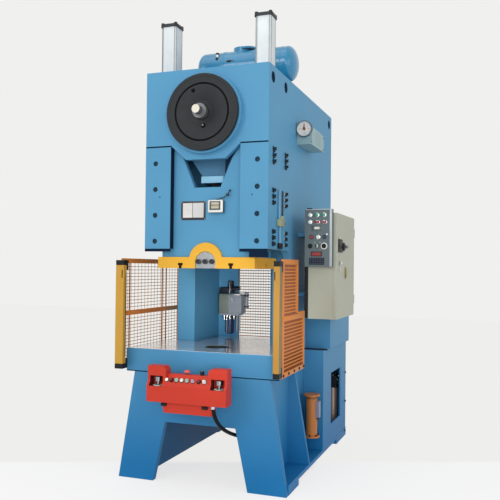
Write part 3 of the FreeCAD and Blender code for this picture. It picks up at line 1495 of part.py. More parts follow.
def main_switch():
    """Rotary isolator on the cabinet door: round base with a bar handle."""
    base = bar("switch_base", "x", "switch_radius", "cabinet_outer", "switch_length / 3",
               y=back("switch_depth"), z="switch_height")
    grip = block("switch_grip_bar", ("cabinet_outer + switch_length / 3", "cabinet_outer + switch_length"),
                 (back("switch_depth - switch_grip / 2"), back("switch_depth + switch_grip / 2")),
                 ("switch_height - 1.4 * switch_radius", "switch_height + 0.8 * switch_radius"))
    return join("main_switch", [base, grip])


def control_panel():
    """Operator panel: shallow box on the cabinet's front, with a socket for its push button."""
    box = block("panel_box", ("panel_inner", "panel_outer"),
                (back("panel_front"), back("cabinet_front")), ("panel_bottom", "panel_top"))
    socket = bar("panel_socket", "y", "panel_button_radius + soft_gap", back("panel_front"),
                 "socket_depth", x="panel_button_across", z="panel_button_height")
    return remove("control_panel", box, [socket])


def panel_knob():
    """Round selector on the operator panel."""
    base = bar("panel_knob_base", "y", "panel_knob_radius", back("panel_front - panel_knob_length / 2"),
               "panel_knob_length / 2", x="panel_knob_across", z="panel_knob_height")
    grip = block("panel_knob_grip", ("panel_knob_across - 3", "panel_knob_across + 3"),
                 (back("panel_front - panel_knob_length"), back("panel_front - panel_knob_length / 2")),
                 ("panel_knob_height - panel_knob_radius", "panel_knob_height + panel_knob_radius"))
    return join("panel_knob", [base, grip])


def panel_button():
    """Push button on the operator panel."""
    return bar("panel_button", "y", "panel_button_radius", back("panel_front - panel_button_length"),
               "panel_button_length", x="panel_button_across", z="panel_button_height")


# ---------------------------------------------------------------- fittings
def lubricator():
    """Lubricating unit on the left column's rear flange: body, head and clear bowl."""
    bowl_low = BOLSTER_TOP + " + lubricator_clearance"
    low = bowl_low + " + bowl_height"
    across = ("lubricator_left", "lubricator_left + lubricator_width")
    deep = (back("column_back - lubricator_depth"), back("column_back"))
    body = block("lubricator_body", across, deep,
                 (low, low + " + lubricator_height"))
    head_low = low + " + lubricator_height"
    head = block("lubricator_head", (across[0], across[0] + " + lubricator_head_width"),
                 (deep[0] + " + 15", deep[1] + " - 10"),
                 (head_low, head_low + " + lubricator_head_height / 2"))
    knob_across = across[0] + " + lubricator_head_width / 2 + 18"
    knob = bar("lubricator_cap", "z", "22", head_low, "lubricator_head_height", x=knob_across,
               y=deep[0] + " + 50")
    bowl = bar("lubricator_bowl", "z", "bowl_radius", bowl_low, "bowl_height",
               x=across[0] + " + 88", y=deep[0] + " + 52")
    return join("lubricator", [body, head, knob, bowl])


def reservoir():
    """Flanged reservoir beside the rear housing, with its level switch and wall bracket."""
    place = {"x": "reservoir_across", "y": back("reservoir_depth")}
    top = "reservoir_bottom + reservoir_height"
    parts = [
        bar("reservoir_barrel", "z", "reservoir_radius", "reservoir_bottom", "reservoir_height", **place),
        bar("reservoir_foot", "z", "reservoir_flange", "reservoir_bottom", "reservoir_flange_thick", **place),
        bar("reservoir_cap", "z", "reservoir_flange", top + " - reservoir_flange_thick",
            "reservoir_flange_thick", **place),
        block("reservoir_bracket", ("reservoir_across - 22", "reservoir_across + 22"),
              (back("reservoir_depth"), back("housing_front")),
              ("reservoir_bottom + 40", "reservoir_bottom + 200")),
        block("reservoir_switch", ("reservoir_across + 24", "reservoir_across + 24 + reservoir_switch_width"),
              (back("reservoir_depth - 20"), back("reservoir_depth + 20")),
              ("reservoir_bottom + 135", "reservoir_bottom + 245")),
    ]
    return join("reservoir", parts)


def air_valve():
    """Air valve block on two standpipes inside the right-hand housing."""
    parts = []
    for index in range(2):
        parts.append(bar("valve_pipe", "z", "valve_pipe_radius", RAIL_TOP + " + housing_wall",
                         "valve_pipe_top - (%s) - housing_wall" % RAIL_TOP,
                         x="valve_across", y=back("valve_depth + %d * valve_pipe_pitch" % index)))
    parts.append(block("valve_head", ("valve_across - valve_head_inner", "valve_across + valve_head_outer"),
                       (back("valve_depth - valve_head_overhang"),
                        back("valve_depth + valve_pipe_pitch + valve_head_overhang")),
                       ("valve_pipe_top", "valve_pipe_top + valve_head_height")))
    return join("air_valve", parts)


def counter_box():
    """Stroke counter on the slide's front face."""
    return block("counter_box", ("counter_across - counter_width / 2", "counter_across + counter_width / 2"),
                 (SLIDE_FRONT + " - counter_depth", SLIDE_FRONT),
                 ("counter_centre - counter_height / 2", "counter_centre + counter_height / 2"))


nodes = [frame_side("frame_side_" + name, side) for name, side in SIDES]
nodes += [frame_head(), frame_base()]
nodes += [rear_housing("rear_housing_" + name, side) for name, side in SIDES]
nodes += [rear_cover(), bearing_cover(), bearing_bushes(), crankshaft()]
nodes.append(toothed("main_gear", "gear_teeth", back("gear_front"), "gear_face", "crank_height",
                     "rear_journal_radius - running_fit", 0, hub="gear_hub_length", lightened=True))
nodes += [pinion_shaft(), flywheel(), motor(), motor_pulley(), drive_belts()]
nodes += [connecting_rod(), ball_screw(), slide(), slide_plate(), shank_clamp(), clamp_nuts()]
nodes.append(balancer_rods())
nodes += [gib_cover("gib_cover_" + name, side) for name, side in SIDES]
nodes += [slide_ways(), guide_screws(), bolster()]
nodes += [balancer_tube("balancer_tube_" + name, side) for name, side in SIDES]
nodes += [balancer_caps(), air_tank()]
nodes += [curtain_post("light_curtain_" + name, side, name + "_post_width") for name, side in SIDES]
nodes += [curtain_brackets()]
nodes += [side_guard("guard_" + name, side) for name, side in SIDES]
nodes += [rear_guard(), control_box()]
nodes += [palm_button("palm_button_" + name, side) for name, side in SIDES]
nodes += [stop_button(), mode_knob()]
for place, name in enumerate(("run_button", "inch_button", "reset_button")):
    nodes.append(box_button(name, place))
nodes += [hose(), hose_glands(), angle_box(), angle_pointer()]
nodes += [cabinet_body(), cabinet_door(), main_switch(), control_panel(), panel_knob(), panel_button()]
nodes += [lubricator(), reservoir(), air_valve(), counter_box()]

doc.recompute()
for item in doc.Objects:
    if "Invalid" in item.State or "Error" in item.State:
        raise RuntimeError("failed: %s %s" % (item.Label, item.State))
os.makedirs("parts", exist_ok=True)
for item in nodes:
    shape = item.Shape
    if shape.isNull() or not shape.isValid():
        raise RuntimeError("bad shape: " + item.Label)
    shape.exportStep("parts/%s.step" % item.Label)
print("nodes", len(nodes))
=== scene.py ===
import math

import bmesh
import bpy
from mathutils import Matrix, Vector


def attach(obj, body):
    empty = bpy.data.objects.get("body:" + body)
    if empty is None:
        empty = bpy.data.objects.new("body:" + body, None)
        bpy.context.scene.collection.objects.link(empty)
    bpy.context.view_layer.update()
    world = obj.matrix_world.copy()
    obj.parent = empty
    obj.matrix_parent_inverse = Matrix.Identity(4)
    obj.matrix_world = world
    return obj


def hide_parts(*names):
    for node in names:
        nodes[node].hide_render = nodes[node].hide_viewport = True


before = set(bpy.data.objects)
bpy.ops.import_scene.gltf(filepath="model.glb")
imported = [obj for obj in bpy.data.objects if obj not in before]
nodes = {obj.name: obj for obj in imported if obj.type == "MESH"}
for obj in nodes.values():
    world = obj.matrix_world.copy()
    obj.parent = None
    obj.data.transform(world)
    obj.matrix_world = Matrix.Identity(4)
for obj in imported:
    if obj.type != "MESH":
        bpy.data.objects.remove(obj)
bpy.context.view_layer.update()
scene = bpy.context.scene

# ---------------------------------------------------------------- camera
# A lens of normal length from the front right of the press, at about half its height.
# Its place, turn, tilt and slight roll come from a fit to the edges of the press.
camera = bpy.data.objects.new("camera", bpy.data.cameras.new("camera"))
scene.collection.objects.link(camera)
camera.data.lens = 48.96
camera.data.shift_x, camera.data.shift_y = 0.0011, 0.0084
stand = Vector((1.6656, -4.5356, 1.309))
turn, tilt, roll = math.radians(20.0018), math.radians(1.115), math.radians(-0.5997)
ahead = Vector((-math.sin(turn) * math.cos(tilt), math.cos(turn) * math.cos(tilt), math.sin(tilt)))
level = Vector((math.cos(turn), math.sin(turn), 0))
above = level.cross(ahead)
across = level * math.cos(roll) - above * math.sin(roll)
up = above * math.cos(roll) + level * math.sin(roll)
camera.matrix_world = Matrix((*zip(across, up, -ahead, stand), (0, 0, 0, 1)))
scene.camera = camera


# ---------------------------------------------------------------- hose
# Black rubber hose that carries the control leads, from the control box to the terminal on the
# right leg. It hangs free between two plated glands.
def linear(red, green, blue):
    """A screen colour of 0 to 255 as the linear colour that a shader takes."""
    return [c / 255 / 12.92 if c < 10.5 else ((c / 255 + 0.055) / 1.055) ** 2.4
            for c in (red, green, blue)] + [1]


def effect(name, *given):
    """Starts a shared effect, which varies a colour, a roughness and a normal."""
    tree = bpy.data.node_groups.new(name, "ShaderNodeTree")
    for label, kind, value in given:
        socket = tree.interface.new_socket(name=label, in_out="INPUT", socket_type="NodeSocket" + kind)
        socket.default_value = value
    for label, kind in (("Color", "Color"), ("Roughness", "Float"), ("Normal", "Vector")):
        tree.interface.new_socket(name=label, in_out="OUTPUT", socket_type="NodeSocket" + kind)
    return tree, tree.nodes.new("NodeGroupInput").outputs, tree.nodes.new("NodeGroupOutput").inputs


def node(tree, kind, sources, **settings):
    """Adds a node; its sockets are fed by other nodes' outputs or hold a value."""
    made = tree.nodes.new("ShaderNode" + kind)
    for key, value in settings.items():
        setattr(made, key, value)
    for key, value in sources.items():
        if isinstance(value, bpy.types.NodeSocket):
            tree.links.new(value, made.inputs[key])
        else:
            made.inputs[key].default_value = value
    return made


def noise(tree, place, scale, detail, roughness=0.5):
    """A soft random field over the piece, from 0 to 1."""
    return node(tree, "TexNoise", {"Vector": place, "Scale": scale, "Detail": detail,
                                   "Roughness": roughness}).outputs["Fac"]


def ranged(tree, value, low, high, start=0.0, stop=1.0):
    """Maps a value that runs from start to stop to one that runs from low to high."""
    return node(tree, "MapRange", {"Value": value, "From Min": start, "From Max": stop,
                                   "To Min": low, "To Max": high}).outputs["Result"]


def vary(tree, out, shade, tone, gloss, haze, relief, strength, depth):
    """Ends an effect with a toned colour, a hazed gloss and a relief of some depth in metres."""
    colour = node(tree, "HueSaturation", {"Color": shade, "Value": tone}).outputs["Color"]
    hazed = node(tree, "Math", {0: gloss, 1: haze}, operation="ADD").outputs["Value"]
    bump = node(tree, "Bump", {"Strength": strength, "Distance": depth, "Height": relief})
    tree.links.new(colour, out["Color"])
    tree.links.new(hazed, out["Roughness"])
    tree.links.new(bump.outputs["Normal"], out["Normal"])


def finish(name, group, given, **sockets):
    """A material: the effect's colour, roughness and normal, and plain values on its own shader."""
    made = bpy.data.materials.new(name)
    made.use_nodes = True
    tree = made.node_tree
    surface = tree.nodes["Principled BSDF"]
    varied = tree.nodes.new("ShaderNodeGroup")
    varied.node_tree = group
    for key, value in given.items():
        varied.inputs[key].default_value = value
    for source, target in (("Color", "Base Color"), ("Roughness", "Roughness"), ("Normal", "Normal")):
        tree.links.new(varied.outputs[source], surface.inputs[target])
    for key, value in sockets.items():
        surface.inputs[key.replace("_", " ")].default_value = value
    return made


def piece(name, bm, finishes, body, covers=(), smooth=32):
    """Makes a mesh object of a bmesh, with its finishes, its body and the nodes it stands for."""
    bmesh.ops.recalc_face_normals(bm, faces=bm.faces)
    mesh = bpy.data.meshes.new(name)
    bm.to_mesh(mesh)
    bm.free()
    for each in finishes if isinstance(finishes, (list, tuple)) else [finishes]:
        mesh.materials.append(each)
    mesh.polygons.foreach_set("use_smooth", [True] * len(mesh.polygons))
    mesh.set_sharp_from_angle(angle=math.radians(smooth))
    made = bpy.data.objects.new(name, mesh)
    scene.collection.objects.link(made)
    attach(made, body)
    if covers:
        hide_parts(*covers)
    return made


def turned(bm, centre, axis, profile, steps=48, closed=False, coat=0):
    """Adds a turned form; its profile is pairs of radius and distance along the axis."""
    axis = Vector(axis).normalized()
    side = axis.orthogonal().normalized()
    centre = Vector(centre)
    verts = [bm.verts.new(centre + axis * along + side * radius) for radius, along in profile]
    pairs = list(zip(verts, verts[1:])) + ([(verts[-1], verts[0])] if closed else [])
    edges = [bm.edges.new(pair) for pair in pairs]
    before = set(bm.faces)
    bmesh.ops.spin(bm, geom=verts + edges, cent=centre, axis=axis, angle=2 * math.pi, steps=steps,
                   use_merge=True)
    made = [face for face in bm.faces if face not in before]
    for face in made:
        face.material_index = coat
    corners = list({vert for face in made for vert in face.verts})
    bmesh.ops.remove_doubles(bm, verts=corners, dist=1e-6)


moulded, given, out = effect(
    "moulded_skin", ("Color", "Color", (0.5, 0.5, 0.5, 1)), ("Gloss", "Float", 0.5),
    ("Grain", "Float", 0.1))
place = node(moulded, "TexCoord", {}).outputs["Object"]
cloud = noise(moulded, place, 16, 3)
vary(moulded, out, given["Color"], ranged(moulded, cloud, 0.92, 1.06, 0.35, 0.65), given["Gloss"],
     ranged(moulded, cloud, -0.08, 0.08), noise(moulded, place, 1300, 2), given["Grain"], 0.0004)


def plastic(name, shade, gloss, grain, **sockets):
    """A moulded finish of one screen colour, with a fine grain in its surface."""
    return finish(name, moulded, {"Color": linear(*shade), "Gloss": gloss, "Grain": grain}, **sockets)


hose_jacket = plastic("hose_jacket", (14, 15, 17), 0.5, 0.2, Specular_IOR_Level=0.15)

route = ((0.166, -0.9905, 0.513), (0.173, -0.9815, 0.46), (0.187, -0.9545, 0.415), (0.197, -0.9105, 0.381),
         (0.202, -0.8605, 0.357), (0.205, -0.8085, 0.335), (0.213, -0.7575, 0.316), (0.24, -0.7165, 0.3),
         (0.283, -0.6845, 0.291), (0.336, -0.6705, 0.288))
line = bpy.data.curves.new("hose_line", "CURVE")
line.dimensions = "3D"
line.bevel_depth = 0.011
line.bevel_resolution = 6
line.resolution_u = 14
line.use_fill_caps = True
run = line.splines.new("NURBS")
run.points.add(len(route) - 1)
for point, spot in zip(run.points, route):
    point.co = (*spot, 1)
run.order_u = 3
run.use_endpoint_u = True
line.materials.append(hose_jacket)
hose = bpy.data.objects.new("hose_run", line)
scene.collection.objects.link(hose)
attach(hose, "frame")
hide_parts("hose")

metal, given, out = effect(
    "worked_metal", ("Color", "Color", (0.6, 0.6, 0.6, 1)), ("Gloss", "Float", 0.35),
    ("Lay", "Vector", (1, 1, 1)), ("Marks", "Float", 0.15))
place = node(metal, "TexCoord", {}).outputs["Object"]
lay = node(metal, "VectorMath", {0: place, 1: given["Lay"]}, operation="MULTIPLY").outputs["Vector"]
streak = noise(metal, lay, 90, 5, 0.65)
vary(metal, out, given["Color"], ranged(metal, noise(metal, place, 7, 4), 0.88, 1.08, 0.3, 0.7),
     given["Gloss"], ranged(metal, streak, -0.12, 0.16), streak, given["Marks"], 0.0003)


def worked(name, shade, gloss, marks, metallic, lay=(1, 1, 1), **sockets):
    """A worked metal of one screen colour, with its marks drawn out where the lay is low."""
    return finish(name, metal, {"Color": linear(*shade), "Gloss": gloss, "Lay": lay, "Marks": marks},
                  Metallic=metallic, **sockets)


chrome = worked("chrome_plate", (208, 210, 212), 0.16, 0.03, 1.0)
upward, rightward = (0, 0, 1), (1, 0, 0)
glands = bmesh.new()
turned(glands, route[0], upward,
       [(0.0112, -0.004), (0.0122, -0.004), (0.0125, -0.002), (0.0125, 0.01), (0.0112, 0.0118),
        (0.0112, -0.004)], 32)
turned(glands, route[-1], rightward, [(0.0112, 0), (0.015, 0), (0.0165, 0.003), (0.0165, 0.009)], 40)
turned(glands, route[-1], rightward,
       [(0.0118, 0.0085), (0.0175, 0.0085), (0.018, 0.0105), (0.018, 0.0195), (0.0172, 0.0215)], 6)
turned(glands, route[-1], rightward, [(0.015, 0.021), (0.0178, 0.021), (0.0178, 0.0238), (0, 0.0238)], 40)
hose_glands = piece("hose_gland_pair", glands, chrome, "frame", ["hose_glands"])


# ---------------------------------------------------------------- stage
# White floor paper that meets a pale surround along a line under the press, and broad soft lamps
# with a narrow one that is aimed into the throat.
def backdrop_rays(tree):
    """One for rays from the camera, a reflection or glass, which see the backdrop, else nought."""
    rays = node(tree, "LightPath", {}).outputs
    seen = rays["Is Camera Ray"]
    for kind in ("Is Glossy Ray", "Is Transmission Ray"):
        seen = node(tree, "Math", {0: seen, 1: rays[kind]}, operation="MAXIMUM").outputs["Value"]
    return seen


floor = bmesh.new()
bmesh.ops.create_grid(floor, x_segments=1, y_segments=1, size=14)
bmesh.ops.translate(floor, verts=floor.verts, vec=(0, 0, -0.0006))
mesh = bpy.data.meshes.new("studio_floor")
floor.to_mesh(mesh)
floor.free()
ground = bpy.data.objects.new("studio_floor", mesh)
scene.collection.objects.link(ground)
surround = linear(240, 240, 238)
paper = bpy.data.materials.new("studio_paper")
paper.use_nodes = True
tree = paper.node_tree
sheet = tree.nodes["Principled BSDF"]
sheet.inputs["Base Color"].default_value = (0.84, 0.84, 0.84, 1)
sheet.inputs["Roughness"].default_value = 0.9
sheet.inputs["Specular IOR Level"].default_value = 0.1
place = node(tree, "TexCoord", {}).outputs["Object"]
beyond = node(tree, "VectorMath", {0: place, 1: (-0.3762, 0.9265, 0)}, operation="DOT_PRODUCT")
edge = (-0.26, -0.2)
far = ranged(tree, beyond.outputs["Value"], 0, 1, *edge)
glow = node(tree, "Mix", {0: far, 6: (1, 1, 1, 1), 7: surround}, data_type="RGBA").outputs[2]
share = ranged(tree, beyond.outputs["Value"], 0.72, 0.94, *edge)
share = node(tree, "Math", {0: share, 1: backdrop_rays(tree)}, operation="MULTIPLY").outputs["Value"]
light = node(tree, "Emission", {"Color": glow, "Strength": 1.0})
mixed = node(tree, "MixShader", {0: share, 1: sheet.outputs[0], 2: light.outputs[0]})
tree.links.new(mixed.outputs[0], tree.nodes["Material Output"].inputs["Surface"])
mesh.materials.append(paper)

world = bpy.data.worlds.new("studio")
scene.world = world
world.use_nodes = True
tree = world.node_tree
tree.nodes["Background"].inputs["Color"].default_value = (1, 1, 1, 1)
tree.nodes["Background"].inputs["Strength"].default_value = 0.65
shown = node(tree, "Background", {"Color": surround, "Strength": 1.0})
mixed = node(tree, "MixShader",
             {0: backdrop_rays(tree), 1: tree.nodes["Background"].outputs[0], 2: shown.outputs[0]})
tree.links.new(mixed.outputs[0], tree.nodes["World Output"].inputs["Surface"])


def lamp(name, kind, spot, aim, power):
    """Places a lamp that shines from a spot towards another."""
    made = bpy.data.objects.new(name, bpy.data.lights.new(name, kind))
    made.data.energy = power
    made.location = spot
    made.rotation_euler = (Vector(aim) - Vector(spot)).to_track_quat("-Z", "Y").to_euler()
    scene.collection.objects.link(made)
    return made.data


for name, spot, aim, size, power in (
        ("key", (-1.9, -6.6, 3.9), (0, -0.3, 1.3), 2.2, 72),
        ("fill", (3.1, -7.2, 1.7), (0.1, -0.3, 1.1), 4.0, 140),
        ("side", (6.6, -2.2, 2.8), (0.3, 0, 1.3), 3.6, 48),
        ("top", (-0.8, -2.4, 6.6), (0, -0.3, 1.0), 4.0, 52)):
    lamp(name, "AREA", spot, aim, power).size = size
snoot = lamp("snoot", "SPOT", (2.1, -4.6, 1.0), (-0.12, -0.2, 1.06), 700)
snoot.spot_size = math.radians(8)
snoot.spot_blend = 1.0
snoot.shadow_soft_size = 0.3
scene.view_settings.view_transform = "Standard"


# ---------------------------------------------------------------- frame weldment
# C-frame welded of thick steel plate: two side plates, head, base and the housings behind it. It
# is filled, primed and sprayed with machine enamel together with the retaining plates of the
# slide's guides, and the film of the paint rounds every edge.
enamel, given, out = effect(
    "machine_enamel", ("High", "Color", (0.2, 0.4, 0.5, 1)), ("Low", "Color", (0.1, 0.3, 0.5, 1)),
    ("Gloss", "Float", 0.4), ("Peel", "Float", 0.12))
place = node(enamel, "TexCoord", {}).outputs["Object"]
height = node(enamel, "SeparateXYZ", {"Vector": place}).outputs["Z"]
# From 0.1 to 1 m up the colour runs from the low to the high one: the darker low colour is painted shade
# low on the press.
rise = ranged(enamel, height, 0, 1, 0.1, 1.0)
shaded_film = node(enamel, "Mix", {0: rise, 6: given["Low"], 7: given["High"]}, data_type="RGBA").outputs[2]
cloud = noise(enamel, place, 2.4, 4)
vary(enamel, out, shaded_film, ranged(enamel, cloud, 0.955, 1.035, 0.3, 0.7), given["Gloss"],
     ranged(enamel, cloud, -0.07, 0.07), noise(enamel, place, 210, 2), given["Peel"], 0.0005)


def painted(name, shade, gloss=0.45, peel=0.12, sheen=0.3, low=None):
    """An enamel of one screen colour; a darker low colour, where given, is painted shade low on the press.
    """
    return finish(name, enamel,
                  {"High": linear(*shade), "Low": linear(*(low or shade)), "Gloss": gloss, "Peel": peel},
                  Specular_IOR_Level=sheen)


# The frame's low colour is far darker: painted shade on the legs and the base.
frame_blue = painted("frame_enamel", (86, 150, 188), 0.5, 0.12, 0.18, low=(26, 112, 168))


def dress(name, finishes, body, edge=0.002, segments=2, choose=None, angle=28):
    """A copy of a node with its edges rounded, which stands for the node.

    Where it has more than one finish, choose picks one by the middle and the normal of a face."""
    bm = bmesh.new()
    bm.from_mesh(nodes[name].data)
    bmesh.ops.remove_doubles(bm, verts=bm.verts, dist=2e-5)
    bmesh.ops.dissolve_limit(bm, angle_limit=math.radians(0.6), verts=bm.verts, edges=bm.edges)
    bmesh.ops.recalc_face_normals(bm, faces=bm.faces)
    for face in bm.faces:
        face.material_index = choose(face.calc_center_median(), face.normal) if choose else 0
    made = piece(name + "_skin", bm, finishes, body, [name], 40)
    rounded = made.modifiers.new("edges", "BEVEL")
    rounded.width = edge
    rounded.segments = segments
    rounded.limit_method = "ANGLE"
    rounded.angle_limit = math.radians(angle)
    rounded.use_clamp_overlap = True
    even = made.modifiers.new("flat_faces", "WEIGHTED_NORMAL")
    even.mode = "FACE_AREA"
    even.keep_sharp = True


# A darker blue for the walls of the lifting bores: painted shade in the holes.
bore_shade = painted("bore_shade_enamel", (26, 66, 104), 0.6, low=(22, 58, 96))
lift_bores, bore_height = (-0.6845, -0.4265, 0.7485), 2.451


def in_bore(middle, normal):
    """Picks the walls of the lifting bores near the top of the side plates, which get a darker enamel as
    painted shade.
    """
    return int(abs(normal.x) < 0.5 and abs(middle.z - bore_height) < 0.036
               and min(abs(middle.y - y) for y in lift_bores) < 0.036)


for name in ("frame_side_left", "frame_side_right"):
    dress(name, [frame_blue, bore_shade], "frame", 0.003, choose=in_bore)
for name, edge in (("frame_head", 0.003), ("frame_base", 0.003), ("rear_housing_left", 0.0015),
                   ("rear_housing_right", 0.0015), ("gib_cover_left", 0.0035), ("gib_cover_right", 0.0035)):
    dress(name, frame_blue, "frame", edge)


# ---------------------------------------------------------------- rear cover
# Folded sheet cover over the flywheel, sprayed with the frame, with pressed ventilation louvres
# over dark strips of painted shade in their openings, and a row of screws along each side.
dark_steel = worked("black_oxide_steel", (46, 50, 56), 0.4, 0.1, 0.6)


def block(bm, low, high, edge=0.0, segments=2, coat=0):
    """Adds a block between two corners, with its edges rounded."""
    made = bmesh.ops.create_cube(bm, size=1)["verts"]
    for vert in made:
        vert.co = Vector([(a + b) / 2 + c * (b - a) for a, b, c in zip(low, high, vert.co)])
    faces = {face for vert in made for face in vert.link_faces}
    for face in faces:
        face.material_index = coat
    if edge:
        edges = list({link for vert in made for link in vert.link_edges})
        bmesh.ops.bevel(bm, geom=edges, offset=edge, segments=segments, profile=0.5, affect="EDGES",
                        material=-1, clamp_overlap=True)


def screw(bm, spot, axis, radius, height, coat=0):
    """Adds a hexagon screw head with its washer, seated on a face at a spot."""
    turned(bm, spot, axis,
           [(0, -0.0005), (radius * 1.35, -0.0005), (radius * 1.35, height * 0.22),
            (radius, height * 0.26)], 24, coat=coat)
    turned(bm, spot, axis,
           [(radius, height * 0.2), (radius, height * 0.85), (radius * 0.86, height), (0, height)], 6,
           coat=coat)


backward = (0, 1, 0)
louvres = bmesh.new()
block(louvres, (-0.405, 0.8025, 1.31), (0.405, 0.8315, 2.521), 0.003)
for row in range(3):
    for middle in (-0.205, 0.205):
        for index in range(9):
            z = 1.52 + 0.33 * row + 0.026 * index
            block(louvres, (middle - 0.11, 0.829, z), (middle + 0.11, 0.8343, z + 0.012), 0.0022)
            # A dark strip under each louvre lip is painted shade in its opening.
            block(louvres, (middle - 0.104, 0.83, z - 0.005), (middle + 0.104, 0.8318, z + 0.001), coat=1)
for x in (-0.385, 0.385):
    for index in range(6):
        screw(louvres, (x, 0.8316, 1.36 + 0.226 * index), backward, 0.0075, 0.0022, 1)
piece("rear_louvred_cover", louvres, [frame_blue, dark_steel], "frame", ["rear_cover"])


# ---------------------------------------------------------------- shade in joints and bores
# Painted shade: dark strips in the gaps between head plate, guide covers and bolster, a dark sheet
# beside the window of the head, and dark plastic plugs in the lifting bores, all in place of the shade
# there.
gap_shade = plastic("gap_shade_dark", (16, 34, 56), 0.8, 0.3, Specular_IOR_Level=0.05)


def plug(bm, centre, axis, radius, shoulder, crown, height, steps, coat=0):
    """Adds a round bar that narrows from its shoulder's height to the radius of its crown."""
    turned(bm, centre, axis, [(0, 0), (radius, 0), (radius, shoulder), (crown, height), (0, height)], steps,
           coat=coat)


seams = bmesh.new()
for side in (-1, 1):
    ends = sorted((0.228 * side, 0.404 * side))
    block(seams, (ends[0], -0.7643, 2.048), (ends[1], -0.76, 2.0565))
    block(seams, (ends[0], -0.7642, 1.402), (ends[1], -0.76, 1.4195))
    for y in lift_bores:
        plug(seams, (0.392 * side, y, bore_height), (side, 0, 0), 0.0335, 0.004, 0.03, 0.006, 32)
block(seams, (-0.231, -0.7636, 1.42), (-0.2262, -0.724, 2.048))
block(seams, (0.29, -0.763, 1.37), (0.404, -0.742, 1.402))
block(seams, (-0.497, -0.8032, 0.66), (0.497, -0.802, 0.6655))


def sheet(bm, corners, y, depth, coat=0):
    """Adds a flat sheet that faces the front, from its (x, z) corners."""
    face = bm.faces.new([bm.verts.new((x, y, z)) for x, z in corners])
    made = bmesh.ops.extrude_face_region(bm, geom=[face])["geom"]
    back = [each for each in made if isinstance(each, bmesh.types.BMVert)]
    bmesh.ops.translate(bm, verts=back, vec=(0, depth, 0))
    faces = {link for vert in (*face.verts, *back) for link in vert.link_faces}
    for link in faces:
        link.material_index = coat
    bmesh.ops.recalc_face_normals(bm, faces=list(faces))


# A dark sheet on the slide's face beside the head's V window: painted shade in the gap there.
sheet(seams,
      ((0.198, 2.05), (0.225, 2.05), (0.184, 2.005), (0.157, 1.967), (0.135, 1.927), (0.121, 1.878),
       (0.115, 1.878), (0.118, 1.948), (0.126, 1.984), (0.155, 2.018)), -0.7252, 0.0012)
piece("painted_gap_shade", seams, gap_shade, "frame")


# ---------------------------------------------------------------- slide, rod and screw
# Cast slide with a V window in its front wall; the forged rod is painted with the slide, and the
# adjusting screw behind its ledge has a dark lock nut. The shafts, gears, bushes and motor of the
# drive keep their own shapes and get their plain finishes here.
dress("slide", frame_blue, "ram", 0.002)
rod_blue = painted("rod_enamel", (84, 140, 178), 0.5, 0.3, low=(70, 130, 176))
dress("connecting_rod", rod_blue, "rod", 0.003, 2, angle=40)
# The ledge of the rod is a paler copy of the rod's blue, a painted highlight on its lit front.
collar = bmesh.new()
block(collar, (-0.049, -0.709, 1.825), (0.099, -0.69, 1.866), 0.002)
piece("rod_collar", collar, painted("collar_lit_enamel", (132, 184, 212), 0.35), "rod")
steel = worked("ground_steel", (170, 173, 176), 0.28, 0.12, 1.0, (1, 12, 1))
# Its slightly darker low colour is painted shade low on the press.
cast = finish("cast_iron", enamel,
              {"High": linear(104, 108, 110), "Low": linear(96, 100, 103), "Gloss": 0.62, "Peel": 0.9})
shaft_steel = worked("shaft_steel", (118, 120, 122), 0.5, 0.1, 0.7)
bronze = worked("bearing_bronze", (176, 132, 76), 0.35, 0.1, 1.0, (1, 6, 1))
belt_rubber = plastic("belt_rubber", (34, 34, 36), 0.75, 0.6)
motor_blue = painted("motor_enamel", (104, 158, 192), 0.4, low=(96, 150, 188))
# The front end face of the crankshaft is bare turned steel, made paler than the shaft as a painted
# highlight.
shaft_end_highlight = worked("shaft_end_highlight_steel", (216, 210, 196), 0.4, 0.1, 0.25)
dress("crankshaft", [shaft_steel, shaft_end_highlight], "crank", 0.002, 2,
      choose=lambda middle, normal: int(normal.y < -0.9 and middle.y < -0.895))
for name, material in (
        ("ball_screw", dark_steel), ("main_gear", cast), ("pinion_shaft", steel), ("flywheel", cast),
        ("motor_pulley", cast), ("motor", motor_blue), ("drive_belts", belt_rubber), ("slide_ways", cast),
        ("bearing_bushes", bronze), ("clamp_nuts", dark_steel), ("balancer_rods", chrome)):
    nodes[name].material_slots[0].material = material


